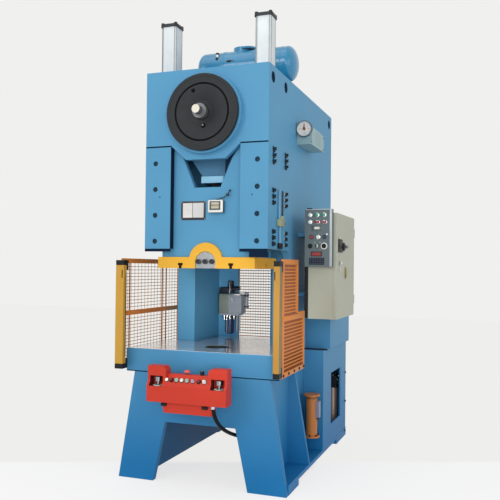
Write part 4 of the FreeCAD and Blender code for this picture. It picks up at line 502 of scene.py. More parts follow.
# ---------------------------------------------------------------- guide screws
# Socket screws sunk in the retaining plates, painted over with the frame, and black set screws
# with lock washers through the side plates; each plate has an oil plug. The sunk heads are dark
# navy as painted shade of their counterbores, the lower rear washers are plated as a painted
# highlight, and pale caps on the set screws' ends are painted glints.
# Dark navy: on the sunk heads it is painted shade in their counterbores.
screw_blue = painted("screw_enamel", (16, 46, 64), 0.5, 0.12, 0.2, low=(16, 44, 62))
socket_glint = painted("socket_glint_enamel", (136, 178, 204), 0.3, low=(120, 164, 190))
dress("guide_screws", [dark_steel, screw_blue], "frame", 0.0012, 2,
      choose=lambda middle, normal: int(abs(middle.x) < 0.4))
forward = (0, -1, 0)
washers = bmesh.new()
for side in (-1, 1):
    # Plated washers on the two lower rear groups only are a painted highlight; the others are dark navy.
    for y, lit_row in ((-0.6715, 0), (-0.4255, 1)):
        for start in (1.452, 1.7, 1.948):
            for z in (start, start + 0.037, start + 0.037 * 2):
                turned(washers, (0.405 * side, y, z), (side, 0, 0),
                       [(0.0132, 0), (0.0158, 0), (0.0158, 0.003), (0.015, 0.0044), (0.0132, 0.0044)], 24,
                       closed=True, coat=0 if lit_row and start < 1.9 else 1)
                plug(washers, (0.4165 * side, y, z), (side, 0, 0), 0.009, 0.009, 0.0078, 0.0105, 20, 1)
                # A pale cap on each set screw's end: a painted glint.
                turned(washers, (0.427 * side, y, z), (side, 0, 0),
                       [(0, 0), (0.0044, 0), (0.004, 0.0008), (0, 0.0008)], 6, coat=2)
    for index in range(4):
        turned(washers, (0.336 * side, -0.7618, 1.466 + 0.161 * index), forward,
               [(0, 0), (0.005, 0), (0.0042, 0.0012), (0, 0.0012)], 6, coat=1)
    turned(washers, (0.304 * side, -0.7635, 1.74), forward,
           [(0, 0), (0.0045, 0), (0.003, 0.002), (0, 0.0022)], 16, coat=1)
piece("set_screw_washers", washers, [steel, screw_blue, socket_glint], "frame")


# ---------------------------------------------------------------- height indicator
# Die-height scale on the right side plate: a blue painted rod beside its slot, a cast clamp below it,
# a lower guide rod and a black rubber stop.
black = plastic("black_plastic", (22, 23, 26), 0.5, 0.2, Specular_IOR_Level=0.25)
scale_cast = plastic("scale_casting", (150, 158, 130), 0.5, 0.4)


def peg(bm, centre, axis, radius, height, steps, coat=0):
    """Adds a plain round bar that stands on a spot."""
    turned(bm, centre, axis, [(0, 0), (radius, 0), (radius, height), (0, height)], steps, coat=coat)


indicator = bmesh.new()
plug(indicator, (0.4125, -0.57, 1.606), upward, 0.0075, 0.176, 0.006, 0.18, 24, 3)
block(indicator, (0.398, -0.5022, 1.609), (0.4042, -0.4568, 1.787), coat=2)
for index in range(17):
    block(indicator, (0.404, -0.5, 1.616 + 0.01 * index),
          (0.4048, -0.488 if index % 5 else -0.48, 1.618 + 0.01 * index), coat=3)
block(indicator, (0.405, -0.6, 1.562), (0.427, -0.485, 1.606), 0.004, 3, 1)
block(indicator, (0.405, -0.57, 1.6), (0.433, -0.52, 1.626), 0.004, 3, 1)
screw(indicator, (0.427, -0.5, 1.584), rightward, 0.0075, 0.006)
peg(indicator, (0.4125, -0.556, 1.448), upward, 0.0085, 0.114, 24, 3)
block(indicator, (0.405, -0.578, 1.424), (0.424, -0.52, 1.46), 0.005, 3, 2)
piece("height_indicator", indicator, [steel, scale_cast, black, motor_blue], "frame")


# ---------------------------------------------------------------- name plate
# Anodised plate with a black rim on the front of the slide, with two fields that are left bare.
# It is held by a drive screw in each corner.
plate_black = plastic("plate_black", (36, 34, 36), 0.35, 0.1)
plate_field = worked("plate_field", (196, 197, 196), 0.4, 0.1, 0.3, (1, 1, 14))
name_plate = bmesh.new()
block(name_plate, (-0.175, -0.7252, 1.597), (-0.01, -0.723, 1.713), 0.0009)
block(name_plate, (-0.163, -0.7257, 1.612), (-0.099, -0.724, 1.702), 0.0003, 1, 1)
block(name_plate, (-0.096, -0.7257, 1.612), (-0.023, -0.724, 1.702), 0.0003, 1, 2)
for x in (-0.1695, -0.0155):
    for z in (1.6035, 1.7075):
        turned(name_plate, (x, -0.725, z), forward,
               [(0.0026, 0), (0.0024, 0.0009), (0.0012, 0.0014), (0, 0.0015)], 16, coat=2)
plate_white = plastic("plate_white", (214, 212, 208), 0.4, 0.05)
piece("name_plate_bare", name_plate, [plate_black, plate_white, plate_field], "ram")


# ---------------------------------------------------------------- slide plate and clamp
# Thick plate bolted under the slide, sprayed signal yellow, with the bright shank clamp that
# holds the upper die in its hump.
safety_yellow = painted("yellow_enamel", (224, 170, 56), 0.4, 0.12, 0.2)
slot_x = 0.167
# The T-slots' walls and the dark tees at their mouths are painted shade in the slots.
slot_shade = painted("slot_shade_enamel", (52, 30, 16), 0.8, 0.1, 0.05)
dress("slide_plate", [safety_yellow, slot_shade], "ram", 0.002,
      choose=lambda middle, normal: int(abs(abs(middle.x) - slot_x) < 0.018 and abs(normal.y) < 0.5
                                        and 1.3005 < middle.z < 1.345))
slot_mouths = bmesh.new()
for x in (-slot_x, slot_x):
    block(slot_mouths, (x - 0.009, -0.744, 1.301), (x + 0.009, -0.74, 1.318))
    block(slot_mouths, (x - 0.016, -0.744, 1.318), (x + 0.016, -0.74, 1.3328))
piece("slot_shade_tees", slot_mouths, slot_shade, "ram")
dress("shank_clamp", steel, "ram", 0.0015)


# ---------------------------------------------------------------- bearing cover
# Turned cover disc over the front crank bearing: a groove near its rim, an eye plug and a plug
# on its face, dark oiled finish. The black ring in the groove and the black eye plug are painted shade.
cover_dark = worked("cover_finish", (33, 37, 40), 0.5, 0.12, 0.1, Specular_IOR_Level=0.3)
shade_and_plug_black = plastic("groove_shade_and_plug_black", (8, 8, 9), 0.7, 0.1, Specular_IOR_Level=0.1)


def ring(bm, centre, axis, inner, outer, low, high, steps, coat=0):
    """Adds a flat ring between two radii and two heights."""
    turned(bm, centre, axis, [(inner, low), (outer, low), (outer, high), (inner, high)], steps, closed=True,
           coat=coat)


disc_seat = (0, -0.8035, 2.239)
disc = bmesh.new()
turned(disc, disc_seat, forward,
       [(0.0465, 0), (0.232, 0), (0.232, 0.0235), (0.2295, 0.026), (0.214, 0.026), (0.212, 0.0245),
        (0.178, 0.0245), (0.1765, 0.019), (0.1675, 0.019), (0.166, 0.0245), (0.078, 0.0245),
        (0.074, 0.0225), (0.058, 0.0225), (0.056, 0.0245), (0.048, 0.0245), (0.0465, 0.023)], 96,
       closed=True)
# A black ring on the groove's floor: painted shade in the groove.
ring(disc, disc_seat, forward, 0.1678, 0.1762, 0.018, 0.0198, 96, 1)
# A black eye plug as painted shade of its hole, and a black plug with a steel centre.
for x, z, r, shade in ((-0.055, 2.37, 0.013, 1), (0.013, 2.155, 0.015, 1), (0.01, 2.158, 0.007, 2)):
    top = 0.0258 + 0.001 * shade
    turned(disc, (x, disc_seat[1], z), forward,
           [(0, 0.02), (r, 0.02), (r, 0.0252), (r * 0.82, top), (0, top)], 24, coat=shade)
piece("bearing_cover_disc", disc, [cover_dark, shade_and_plug_black, shaft_steel], "frame",
      ["bearing_cover"])


# ---------------------------------------------------------------- bolster
# Cast plate clamped on the bed, with a drop hole through it. It is ground bright on top and
# enamelled on its sides, and the walls of the drop hole are dark as painted shade.
bolster_top = worked("bolster_ground", (236, 236, 236), 0.13, 0.05, 0.7, (1, 10, 1))
drop_hole_shade = plastic("drop_hole_shade_plastic", (24, 40, 40), 0.5, 0.2)
hole_y = -0.5385


def bolster_finish(middle, normal):
    """Picks the ground top and the walls of the drop hole, which are dark as painted shade."""
    if normal.z > 0.9 and middle.z > 0.79:
        return 1
    return 2 if math.hypot(middle.x, middle.y - hole_y) < 0.1 and abs(normal.z) < 0.5 else 0


dress("bolster", [frame_blue, bolster_top, drop_hole_shade], "frame", 0.004,
      choose=bolster_finish)


# ---------------------------------------------------------------- air receiver
# Rolled and welded receiver with dished ends, sprayed with the frame: weld seams, a lid on its port
# over a dark ring, a safety valve, a pressure gauge and a drain valve. Its enamel has a clear coat.
tank_blue = painted("tank_enamel", (44, 132, 174), 0.24, 0.1, 0.3)
lacquer = tank_blue.node_tree.nodes["Principled BSDF"].inputs
lacquer["Coat Weight"].default_value = 0.6
lacquer["Coat Roughness"].default_value = 0.12
dress("air_tank", tank_blue, "frame", 0.001, 1, angle=50)
tank_axis = (0.035, -0.1235, 2.697)
fittings = bmesh.new()
for x in (-0.265, 0.265):
    turned(fittings, (tank_axis[0] + x, *tank_axis[1:]), rightward,
           [(0.1176, -0.005), (0.1192, -0.002), (0.1192, 0.002), (0.1176, 0.005)], 96, closed=True)
turned(fittings, (*tank_axis[:2], 2.812), upward,
       [(0.06, 0.003), (0.0685, 0.003), (0.07, 0.005), (0.07, 0.0145), (0.0685, 0.017), (0, 0.017)], 64)
ring(fittings, (*tank_axis[:2], 2.812), upward, 0.06, 0.069, -0.002, 0.003, 64, 1)
turned(fittings, (tank_axis[0] - 0.152, *tank_axis[1:]), rightward,
       [(0.1176, -0.01), (0.1205, -0.007), (0.1205, 0.007), (0.1176, 0.01)], 96, closed=True)


def around(centre, radius, angle):
    """The x and y of a spot on a level circle, at an angle in degrees."""
    turn = math.radians(angle)
    return centre[0] + radius * math.cos(turn), centre[1] + radius * math.sin(turn)


for index in range(8):
    screw(fittings, (*around(tank_axis, 0.058, 22.5 + 45 * index), 2.8292), upward, 0.0045, 0.0006, 1)
valve = (-0.155, -0.2225)
turned(fittings, (*valve, 2.716), upward,
       [(0, 0), (0.01, 0), (0.01, 0.018), (0.0145, 0.019), (0.0145, 0.034), (0.01, 0.036), (0.01, 0.041)],
       24, coat=1)
turned(fittings, (*valve, 2.755), upward,
       [(0.0095, 0), (0.0115, 0.002), (0.0115, 0.02), (0.0095, 0.022), (0, 0.022)], 24, coat=2)
turned(fittings, (*valve, 2.776), upward,
       [(0, 0), (0.008, 0), (0.0125, 0.003), (0.0125, 0.01), (0.009, 0.013), (0, 0.013)], 24, coat=1)
peg(fittings, (valve[0], -0.23, 2.723), backward, 0.006, 0.03, 16, 2)
turned(fittings, (-0.112, -0.218, 2.744), (0, -1, 0.2),
       [(0, -0.015), (0.0215, -0.015), (0.024, -0.012), (0.024, 0.003), (0.0215, 0.005), (0.019, 0.0035),
        (0, 0.0035)], 40, coat=3)
turned(fittings, (-0.08, -0.233, 2.7185), rightward,
       [(0, 0), (0.009, 0), (0.0105, 0.004), (0.0105, 0.03), (0.0075, 0.034), (0.0075, 0.052), (0, 0.052)],
       24, coat=1)
peg(fittings, (-0.06, -0.233, 2.7185), backward, 0.0065, 0.02, 16, 1)
gauge_face = plastic("gauge_face", (150, 166, 170), 0.25, 0.02)
piece("tank_fittings", fittings, [tank_blue, dark_steel, chrome, gauge_face], "frame")


# ---------------------------------------------------------------- balancer cylinders
# Square drawn aluminium tubes with a groove beside each corner, drawn as a darker strip of painted
# shade, and black cast caps that are held by four nuts each.
tube_finish = worked("anodised_tube", (214, 220, 222), 0.45, 0.06, 0.1, (14, 14, 0.5))
for side, sign in (("left", -1), ("right", 1)):
    dress("balancer_tube_" + side, tube_finish, "frame", 0.004, 3)
    grooves = bmesh.new()
    middle = 0.32 * sign
    for x in (middle - 0.04, middle + 0.04):
        for front, back in ((-0.6388, -0.6375), (-0.5375, -0.5362)):
            block(grooves, (x - 0.0022, front, 2.5215), (x + 0.0022, back, 2.8495))
    for y in (-0.6275, -0.5475):
        for low, high in ((middle - 0.0513, middle - 0.05), (middle + 0.05, middle + 0.0513)):
            block(grooves, (low, y - 0.0022, 2.5215), (high, y + 0.0022, 2.8495))
    piece("balancer_groove_shade_" + side, grooves,
          worked("tube_groove_shade_" + side, (150, 152, 154), 0.5, 0.05, 0.2), "frame")
dress("balancer_caps", dark_steel, "frame", 0.0015)


# ---------------------------------------------------------------- light curtain
# Two extruded posts, sprayed yellow, each with its dark lens strip on the inner face and a
# status window near its top, on black brackets.
post_yellow = painted("post_enamel", (194, 148, 56), 0.45, 0.1, low=(192, 146, 54))
post_amber = painted("post_right_enamel", (180, 132, 52), 0.45, 0.1, low=(178, 130, 50))
lens_red = plastic("lens_window", (52, 22, 26), 0.12, 0.0)
post_grey = painted("post_side_enamel", (112, 116, 92), 0.5, 0.1, low=(108, 112, 90))
dress("light_curtain_left", post_yellow, "frame", 0.003, 3)
dress("light_curtain_right", [post_amber, post_grey], "frame", 0.003, 3,
      choose=lambda middle, normal: int(normal.x > 0.9))
dress("curtain_brackets", black, "frame", 0.002)
strips = bmesh.new()
for left, right, low, high in ((-0.472, -0.4712, -0.485, -0.478), (0.4872, 0.488, 0.492, 0.4985)):
    block(strips, (left, -0.876, 0.76), (right, -0.868, 1.27), 0.0003, 1)
    block(strips, (low, -0.9032, 1.238), (high, -0.902, 1.286), 0.0005, 1, 1)
piece("curtain_lenses", strips, [lens_red, black], "frame")


# ---------------------------------------------------------------- side and rear guards
# Flat-bar frames with a welded wire field, sprayed orange, bolted to the bolster's sides. The
# right one has a close mesh, the left and the rear one an open mesh.
# All of it is the same orange paint: the dark orange and brown copies on the back wires, the wires and the
# left guard's uprights are painted shade, the pale tan one on the upright wires is a painted highlight.
guard_paint = painted("guard_enamel", (206, 124, 52), 0.45, 0.15, low=(204, 122, 50))
mesh_paint = painted("mesh_enamel", (212, 130, 52), 0.5, 0.1, low=(208, 126, 50))
mesh_shade = painted("mesh_shade_enamel", (150, 84, 34), 0.5, 0.1, low=(146, 80, 32))
wire_shaded = painted("wire_shade_enamel", (160, 112, 62), 0.5, 0.1, low=(156, 108, 60))
wire_lit = painted("wire_highlight_enamel", (204, 160, 100), 0.5, 0.1, low=(200, 156, 96))


def wire(bm, start, end, radius, sides=6, coat=0):
    """Adds a straight round wire."""
    span = Vector(end) - Vector(start)
    peg(bm, start, span, radius, span.length, sides, coat)


def wire_field(bm, x, low, high, pitch_y, pitch_z, thick, upright):
    """Adds a welded field of wires in a plane across x, between two (y, z) corners."""
    count = round((high[1] - low[1]) / pitch_z)
    for index in range(1, count):
        z = low[1] + (high[1] - low[1]) * index / count
        wire(bm, (x + 0.002, low[0], z), (x + 0.002, high[0], z), thick, 6, 1)
    count = round((high[0] - low[0]) / pitch_y)
    for index in range(1, count):
        y = low[0] + (high[0] - low[0]) * index / count
        wire(bm, (x - 0.0014, y, low[1]), (x - 0.0014, y, high[1]), 0.0017, 6, upright)


right = bmesh.new()
for low, high in (
        ((-0.8405, 0.678), (-0.3715, 0.708)), ((-0.8405, 0.708), (-0.8105, 1.358)),
        ((-0.8105, 1.328), (-0.5235, 1.358)), ((-0.5535, 1.04), (-0.5235, 1.328)),
        ((-0.8105, 1.0), (-0.3715, 1.03)), ((-0.4015, 0.708), (-0.3715, 1.0)),
        ((-0.5235, 1.03), (-0.3715, 1.04))):
    block(right, (0.514, *low), (0.526, *high), 0.0015)
wire_field(right, 0.519, (-0.8105, 0.708), (-0.4015, 1.0), 0.0115, 0.0205, 0.0042, 3)
wire_field(right, 0.519, (-0.8105, 1.03), (-0.5535, 1.328), 0.0115, 0.0205, 0.0042, 3)
block(right, (0.5, -0.7435, 0.718), (0.514, -0.4075, 0.748), 0.001)
block(right, (0.5258, -0.835, 1.008), (0.53, -0.818, 1.026), 0.002)
for y in (-0.822, -0.715, -0.6, -0.49, -0.39):
    screw(right, (0.526, y, 0.693), rightward, 0.0075, 0.006, 2)
piece("guard_right_panel", right, [guard_paint, mesh_paint, dark_steel, mesh_shade], "frame",
      ["guard_right"])

left = bmesh.new()
for low, high in (((-0.8405, 0.678), (-0.8105, 1.358)), ((-0.8105, 1.328), (-0.0535, 1.358)),
                  ((-0.8105, 0.678), (-0.0235, 0.708)), ((-0.0535, 0.708), (-0.0235, 1.358)),
                  ((-0.8105, 1.0), (-0.0535, 1.03))):
    block(left, (-0.526, *low), (-0.514, *high), 0.0015)
wire_field(left, -0.52, (-0.8105, 0.708), (-0.0535, 1.0), 0.045, 0.0206, 0.0019, 2)
wire_field(left, -0.52, (-0.8105, 1.03), (-0.0535, 1.328), 0.045, 0.0206, 0.0019, 2)
for y in (-0.745, -0.3, -0.24):
    block(left, (-0.523, y - 0.0025, 0.708), (-0.515, y + 0.0025, 1.328), 0.0008, coat=3)
block(left, (-0.514, -0.7435, 0.718), (-0.5, -0.4075, 0.748), 0.001)
piece("guard_left_panel", left, [guard_paint, wire_shaded, wire_lit, mesh_shade], "frame",
      ["guard_left"])

rear = bmesh.new()
for low, high in (((-0.155, 0.803), (-0.125, 1.33)), ((0.125, 0.803), (0.155, 1.33)),
                  ((-0.125, 0.803), (0.125, 0.809)), ((-0.125, 1.3), (0.125, 1.33))):
    block(rear, (low[0], 0.1745, low[1]), (high[0], 0.1845, high[1]), 0.0015)
for index in range(1, 25):
    z = 0.806 + 0.02 * index
    wire(rear, (-0.127, 0.1795, z), (0.127, 0.1795, z), 0.0029, 8, 1)
for index in range(-6, 7):
    wire(rear, (0.0195 * index, 0.1836, 0.807), (0.0195 * index, 0.1836, 1.302), 0.0013, 6, 2)
piece("rear_guard_panel", rear, [guard_paint, wire_shaded, wire_lit], "frame",
      ["rear_guard"])


# ---------------------------------------------------------------- lubricating unit
# Die-cast pump body and valve block with a dark head, a plated bow and its handle, and an oil
# bowl of tinted plastic below a dark clamp ring with plated pins.
unit_grey = plastic("unit_grey", (112, 122, 112), 0.45, 0.3)
unit_pale = plastic("unit_pale", (142, 150, 160), 0.4, 0.2)
unit_dark = plastic("unit_dark", (24, 28, 40), 0.35, 0.1)
bowl_tint = plastic("bowl_tint", (44, 62, 104), 0.12, 0.0, Transmission_Weight=0.35, IOR=1.45)
unit = bmesh.new()
block(unit, (-0.238, 0.0495, 0.975), (-0.16, 0.1495, 1.115), 0.006, 3)
block(unit, (-0.162, 0.0495, 0.975), (-0.062, 0.1495, 1.108), 0.005, 3, 1)
for x in (-0.222, -0.2, -0.178):
    block(unit, (x - 0.0035, 0.0475, 0.985), (x + 0.0035, 0.0505, 1.105), 0.001)
block(unit, (-0.146, 0.0478, 1.062), (-0.124, 0.05, 1.09), 0.001, 1, 3)
block(unit, (-0.16, 0.052, 1.106), (-0.07, 0.14, 1.1185), 0.003, 2, 3)
block(unit, (-0.238, 0.0645, 1.115), (-0.145, 0.1395, 1.1625), 0.006, 3, 2)
block(unit, (-0.238, 0.056, 1.113), (-0.12, 0.145, 1.127), 0.003, 2, 2)
turned(unit, (-0.161, 0.0995, 1.115), upward,
       [(0, 0), (0.022, 0), (0.022, 0.06), (0.0195, 0.066), (0.022, 0.07), (0.022, 0.09), (0.018, 0.095),
        (0, 0.095)], 32, coat=2)
turned(unit, (-0.138, 0.064, 1.15), (1, 0, 0.15),
       [(0, 0), (0.012, 0), (0.014, 0.006), (0.014, 0.052), (0.011, 0.06), (0, 0.06)], 24, coat=2)
bow = ((-0.158, 0.058, 1.118), (-0.152, 0.052, 1.16), (-0.16, 0.056, 1.205))
for start, end in zip(bow, bow[1:]):
    wire(unit, start, end, 0.0055, 16, 3)
turned(unit, (-0.036, 0.09, 1.015), upward,
       [(0, 0), (0.015, 0), (0.015, 0.01), (0.0135, 0.01), (0.0135, 0.098), (0.016, 0.098), (0.016, 0.112),
        (0, 0.112)], 24, coat=1)
for low in (1.02, 1.098):
    ring(unit, (-0.036, 0.09, low), upward, 0.015, 0.0172, 0, 0.012, 24, 2)
peg(unit, (-0.066, 0.09, 1.06), rightward, 0.007, 0.026, 16, 3)
block(unit, (-0.236, 0.052, 0.96), (-0.08, 0.148, 0.975), 0.003, 2, 1)
bowl = (-0.168, 0.1005)
turned(unit, (*bowl, 0.825), upward,
       [(0, 0), (0.022, 0), (0.03, 0.006), (0.033, 0.016), (0.034, 0.115), (0, 0.115)], 40, coat=4)
turned(unit, (*bowl, 0.932), upward,
       [(0, 0), (0.046, 0), (0.0478, 0.002), (0.0478, 0.022), (0.044, 0.0285), (0, 0.0285)], 40, coat=2)
for turn in (195, 230, 262, 290, 330):
    peg(unit, (*around(bowl, 0.047, turn), 0.93), upward, 0.005, 0.034, 12, 3)
peg(unit, (-0.178, 0.065, 0.835), upward, 0.003, 0.092, 10, 3)
turned(unit, (*bowl, 0.8245), upward, [(0, 0), (0.013, 0), (0.015, 0.004), (0, 0.004)], 24, coat=3)
for x in (-0.112, -0.092):
    peg(unit, (x, 0.095, 0.845), upward, 0.005, 0.118, 14, 1)
piece("lubricator_unit", unit, [unit_grey, unit_pale, unit_dark, chrome, bowl_tint], "frame",
      ["lubricator"])


# ---------------------------------------------------------------- reservoir
# Painted steel barrel between two flanges with a ring of screws each, with a level switch on its
# side and a wall bracket behind it.
reservoir_paint = painted("reservoir_enamel", (186, 116, 58), 0.4, 0.15)
switch_lilac = plastic("switch_housing", (128, 132, 158), 0.4, 0.1)
barrel_foot = (0.486, -0.0285, 0.165)
barrel = bmesh.new()
turned(barrel, barrel_foot, upward,
       [(0, 0), (0.0545, 0), (0.056, 0.0015), (0.056, 0.0105), (0.0545, 0.012), (0.0405, 0.012),
        (0.038, 0.0145), (0.038, 0.26), (0.0365, 0.2615), (0.0365, 0.266), (0.04, 0.267), (0.04, 0.278),
        (0.0545, 0.278), (0.056, 0.2795), (0.056, 0.2885), (0.0545, 0.29), (0, 0.29)], 64)
# A dark steel ring under the top flange: painted shade below the flange.
ring(barrel, (*barrel_foot[:2], 0.4255), upward, 0.0366, 0.0372, 0, 0.0045, 64, 2)
for index in range(6):
    spot = around(barrel_foot, 0.047, 30 + 60 * index)
    screw(barrel, (*spot, 0.177), upward, 0.006, 0.009, 2)
    screw(barrel, (*spot, 0.4442), (0, 0, -1), 0.005, 0.007, 2)
block(barrel, (0.464, -0.0285, 0.205), (0.508, 0.0515, 0.365), 0.003)
block(barrel, (0.51, -0.0485, 0.3), (0.544, -0.0085, 0.41), 0.004, 3, 1)
peg(barrel, (0.527, barrel_foot[1], 0.285), upward, 0.009, 0.016, 16, 2)
piece("reservoir_barrel", barrel, [reservoir_paint, switch_lilac, dark_steel], "frame",
      ["reservoir"])


# ---------------------------------------------------------------- air valve
# Double valve on two copper-coloured standpipes inside the right-hand housing, with a nut on each
# pipe and plated knobs on its side; bolts on the housing, and black strips at its front along the
# pedestal's lower edge as painted shade of the gap there.
pipe_tan = worked("pipe_finish", (186, 160, 146), 0.32, 0.2, 0.3, (14, 14, 1))
dress("air_valve", [pipe_tan, black], "frame", 0.002,
      choose=lambda middle, normal: int(middle.z > 0.396))
studs = bmesh.new()
for z in (0.039, 0.269, 0.494):
    screw(studs, (0.546, 0.765, z), rightward, 0.008, 0.008)
for x, y in ((0.4855, 0.6), (0.4855, 0.7)):
    turned(studs, (x, y, 0.485), upward,
           [(0, -0.002), (0.012, -0.002), (0.012, 0.016), (0.008, 0.02), (0, 0.02)], 20)
# Black strips at the foot of the pedestal: painted shade in the gap between pedestal and housing.
block(studs, (0.408, 0.05, 0.744), (0.574, 0.0516, 0.754), coat=1)
block(studs, (0.408, 0.048, 0.744), (0.55, 0.0516, 0.75), coat=1)
for y, z, r in ((0.635, 0.455, 0.012), (0.67, 0.42, 0.009), (0.655, 0.48, 0.007)):
    plug(studs, (0.513, y, z), rightward, r, 0.006, r * 0.7, 0.01, 24, 2)
piece("housing_studs", studs, [dark_steel, black, chrome], "frame")


# ---------------------------------------------------------------- two-hand control
# Cast box sprayed red, with a bright palm button in each recess, a mushroom stop, a selector
# knob, and a row of lamps and buttons in plated collars on its sloped panel.
safety_red = painted("red_enamel", (196, 54, 34), 0.38, 0.14, 0.3, low=(194, 52, 34))
# The recesses' walls are a dark copy of the box red: painted shade inside them.
recess_shade_red = painted("recess_shade_enamel", (84, 26, 26), 0.5)
dress("control_box", [safety_red, recess_shade_red], "frame", 0.005, 3,
      choose=lambda middle, normal: int(0.15 < abs(middle.x) < 0.236 and normal.y > -0.9
                                        and 0.614 < middle.z < 0.676 and -1.0 < middle.y < -0.9))
dark_red = plastic("dark_red_plastic", (112, 26, 36), 0.3, 0.05)
green = plastic("green_plastic", (130, 176, 140), 0.25, 0.05)
white = plastic("white_plastic", (226, 226, 220), 0.35, 0.1)
lamp_white = plastic(
    "lamp_lens", (255, 240, 214), 0.15, 0.0, Emission_Color=(1.0, 0.86, 0.66, 1), Emission_Strength=0.5)
palm_steel = worked("palm_steel", (150, 152, 156), 0.22, 0.3, 1.0, (14, 14, 1))
for name, material in (("palm_button_left", palm_steel), ("palm_button_right", palm_steel),
                       ("run_button", green), ("inch_button", white), ("reset_button", green)):
    nodes[name].material_slots[0].material = material
# The mushroom's cap is red plastic, made paler pink as a painted highlight on its lit top.
stop_cap_highlight = plastic("stop_cap_highlight", (214, 92, 86), 0.35, 0.05)
mushroom = bmesh.new()
knob_y = -0.9415
turned(mushroom, (-0.019, knob_y, 0.686), upward,
       [(0, 0), (0.0105, 0), (0.009, 0.006), (0.009, 0.013), (0, 0.013)], 32)
turned(mushroom, (-0.019, knob_y, 0.697), upward,
       [(0, 0), (0.0185, 0), (0.02, 0.002), (0.02, 0.006), (0.017, 0.011), (0.009, 0.0142), (0, 0.015)], 40,
       coat=1)
piece("stop_mushroom", mushroom, [dark_red, stop_cap_highlight], "stop", ["stop_button"])
knob = bmesh.new()
turned(knob, (0.076, knob_y, 0.686), upward,
       [(0, 0), (0.013, 0), (0.013, 0.004), (0.0115, 0.005), (0.0125, 0.021), (0.011, 0.0235), (0, 0.0235)],
       32)
block(knob, (0.0748, -0.9538, 0.709), (0.0772, -0.942, 0.71), 0.0003, 1, 1)
piece("mode_grip", knob, [black, white], "mode", ["mode_knob"])
panel_out = Vector((0, -64, 45)).normalized()
row_middle = Vector((0, -0.981, 0.654))
controls = bmesh.new()
for x in (-0.066, -0.033, 0.0):
    spot = row_middle + Vector((x, 0, 0))
    turned(controls, spot, panel_out,
           [(0.0095, 0), (0.0118, 0), (0.0122, 0.0015), (0.0122, 0.006), (0.0112, 0.0075),
            (0.0095, 0.0075)], 32, closed=True)
    ring(controls, spot, panel_out, 0.0122, 0.0146, -0.0005, 0.0008, 32, 4)
for x, radius, tall, coat in (
        (-0.13, 0.0085, 0.009, 1), (-0.099, 0.009, 0.013, 2), (0.035, 0.0085, 0.014, 5),
        (0.073, 0.009, 0.01, 2), (0.108, 0.01, 0.016, 3)):
    spot = row_middle + Vector((x, 0, 0))
    turned(controls, spot, panel_out,
           [(radius, -0.001), (radius + 0.003, -0.001), (radius + 0.003, 0.004), (radius + 0.0015, 0.0055),
            (radius, 0.0055)], 32, closed=True, coat=4 if coat == 2 else 0)
    ring(controls, spot, panel_out, radius + 0.003, radius + 0.0055, -0.0005, 0.0008, 32, 4)
    plug(controls, spot, panel_out, radius, tall * 0.7, radius * 0.8, tall, 32, coat)
for side in (-1, 1):
    turned(controls, (0.193 * side, -0.9645, 0.616), upward,
           [(0.0215, 0), (0.03, 0), (0.031, 0.0015), (0.031, 0.0035), (0.0215, 0.0035)], 40, closed=True,
           coat=3)
# Black pads at the upper corners of the tray: painted shade of the gaps there.
for x, z in ((-0.148, 0.51), (0.111, 0.508)):
    block(controls, (x - 0.0185, -0.988, z - 0.0095), (x + 0.0185, -0.975, z + 0.0095), 0.006, 3, 4)
lilac = plastic("lilac_plastic", (168, 150, 178), 0.3, 0.05)
piece("control_fittings", controls, [chrome, lamp_white, dark_red, white, black, lilac], "frame")


# ---------------------------------------------------------------- crank-angle indicator
# Cast box with a chamfered cover, held by small screws on its outer side, and a glazed white
# dial in a dark rim with divisions, figures and a red-brown hand.
instrument = painted("instrument_enamel", (142, 172, 178), 0.4, 0.15, low=(138, 170, 178))
dial_white = plastic("dial_white", (224, 220, 214), 0.3, 0.02)
dress("angle_box", [instrument, dial_white], "frame", 0.003, 2,
      choose=lambda middle, normal: int(normal.y < -0.9 and -0.188 < middle.y < -0.184))
pointer_red = plastic("pointer_red", (140, 62, 42), 0.4, 0.05)
nodes["angle_pointer"].material_slots[0].material = pointer_red


def figures(bm, words, size, centre, coat=0):
    """Adds raised figures that face the front, centred on a spot."""
    line = bpy.data.curves.new("figures", "FONT")
    line.body = words
    line.size = size
    line.extrude = 0.0002
    line.resolution_u = 2
    line.align_x, line.align_y = "CENTER", "CENTER"
    holder = bpy.data.objects.new("figures", line)
    mesh = bpy.data.meshes.new_from_object(holder)
    mesh.transform(Matrix.Translation(centre) @ Matrix.Rotation(math.pi / 2, 4, "X"))
    before = len(bm.faces)
    bm.from_mesh(mesh)
    bm.faces.ensure_lookup_table()
    for face in bm.faces[before:]:
        face.material_index = coat
    bpy.data.objects.remove(holder)
    bpy.data.curves.remove(line)
    bpy.data.meshes.remove(mesh)


dial = bmesh.new()
dial_centre = Vector((0.46, -0.1855, 2.234))
turned(dial, dial_centre, forward,
       [(0.049, -0.0005), (0.0542, -0.0005), (0.0542, 0.005), (0.053, 0.006), (0.05, 0.006),
        (0.049, 0.004)], 64, closed=True)
ring(dial, dial_centre + Vector((0, 0.01, 0)), forward, 0.0538, 0.0552, 0, 0.006, 64)
for index in range(36):
    turn = math.radians(10 * index)
    near = 0.037 if index % 3 == 0 else 0.0405
    outward = Vector((math.sin(turn), 0, math.cos(turn)))
    wire(dial, dial_centre + outward * near, dial_centre + outward * 0.0445, 0.00055, 4)
for degrees in (0, 90, 180, 270):
    turn = math.radians(degrees)
    offset = Vector((0.029 * math.sin(turn), -0.0002, 0.03 * math.cos(turn)))
    figures(dial, str(degrees), 0.0095, dial_centre + offset)
for y in (-0.15, 0.172):
    for z in (2.15, 2.232):
        screw(dial, (0.502, y, z), rightward, 0.004, 0.003)
block(dial, (0.495, -0.156, 2.1435), (0.503, -0.154, 2.24), 0.0006)
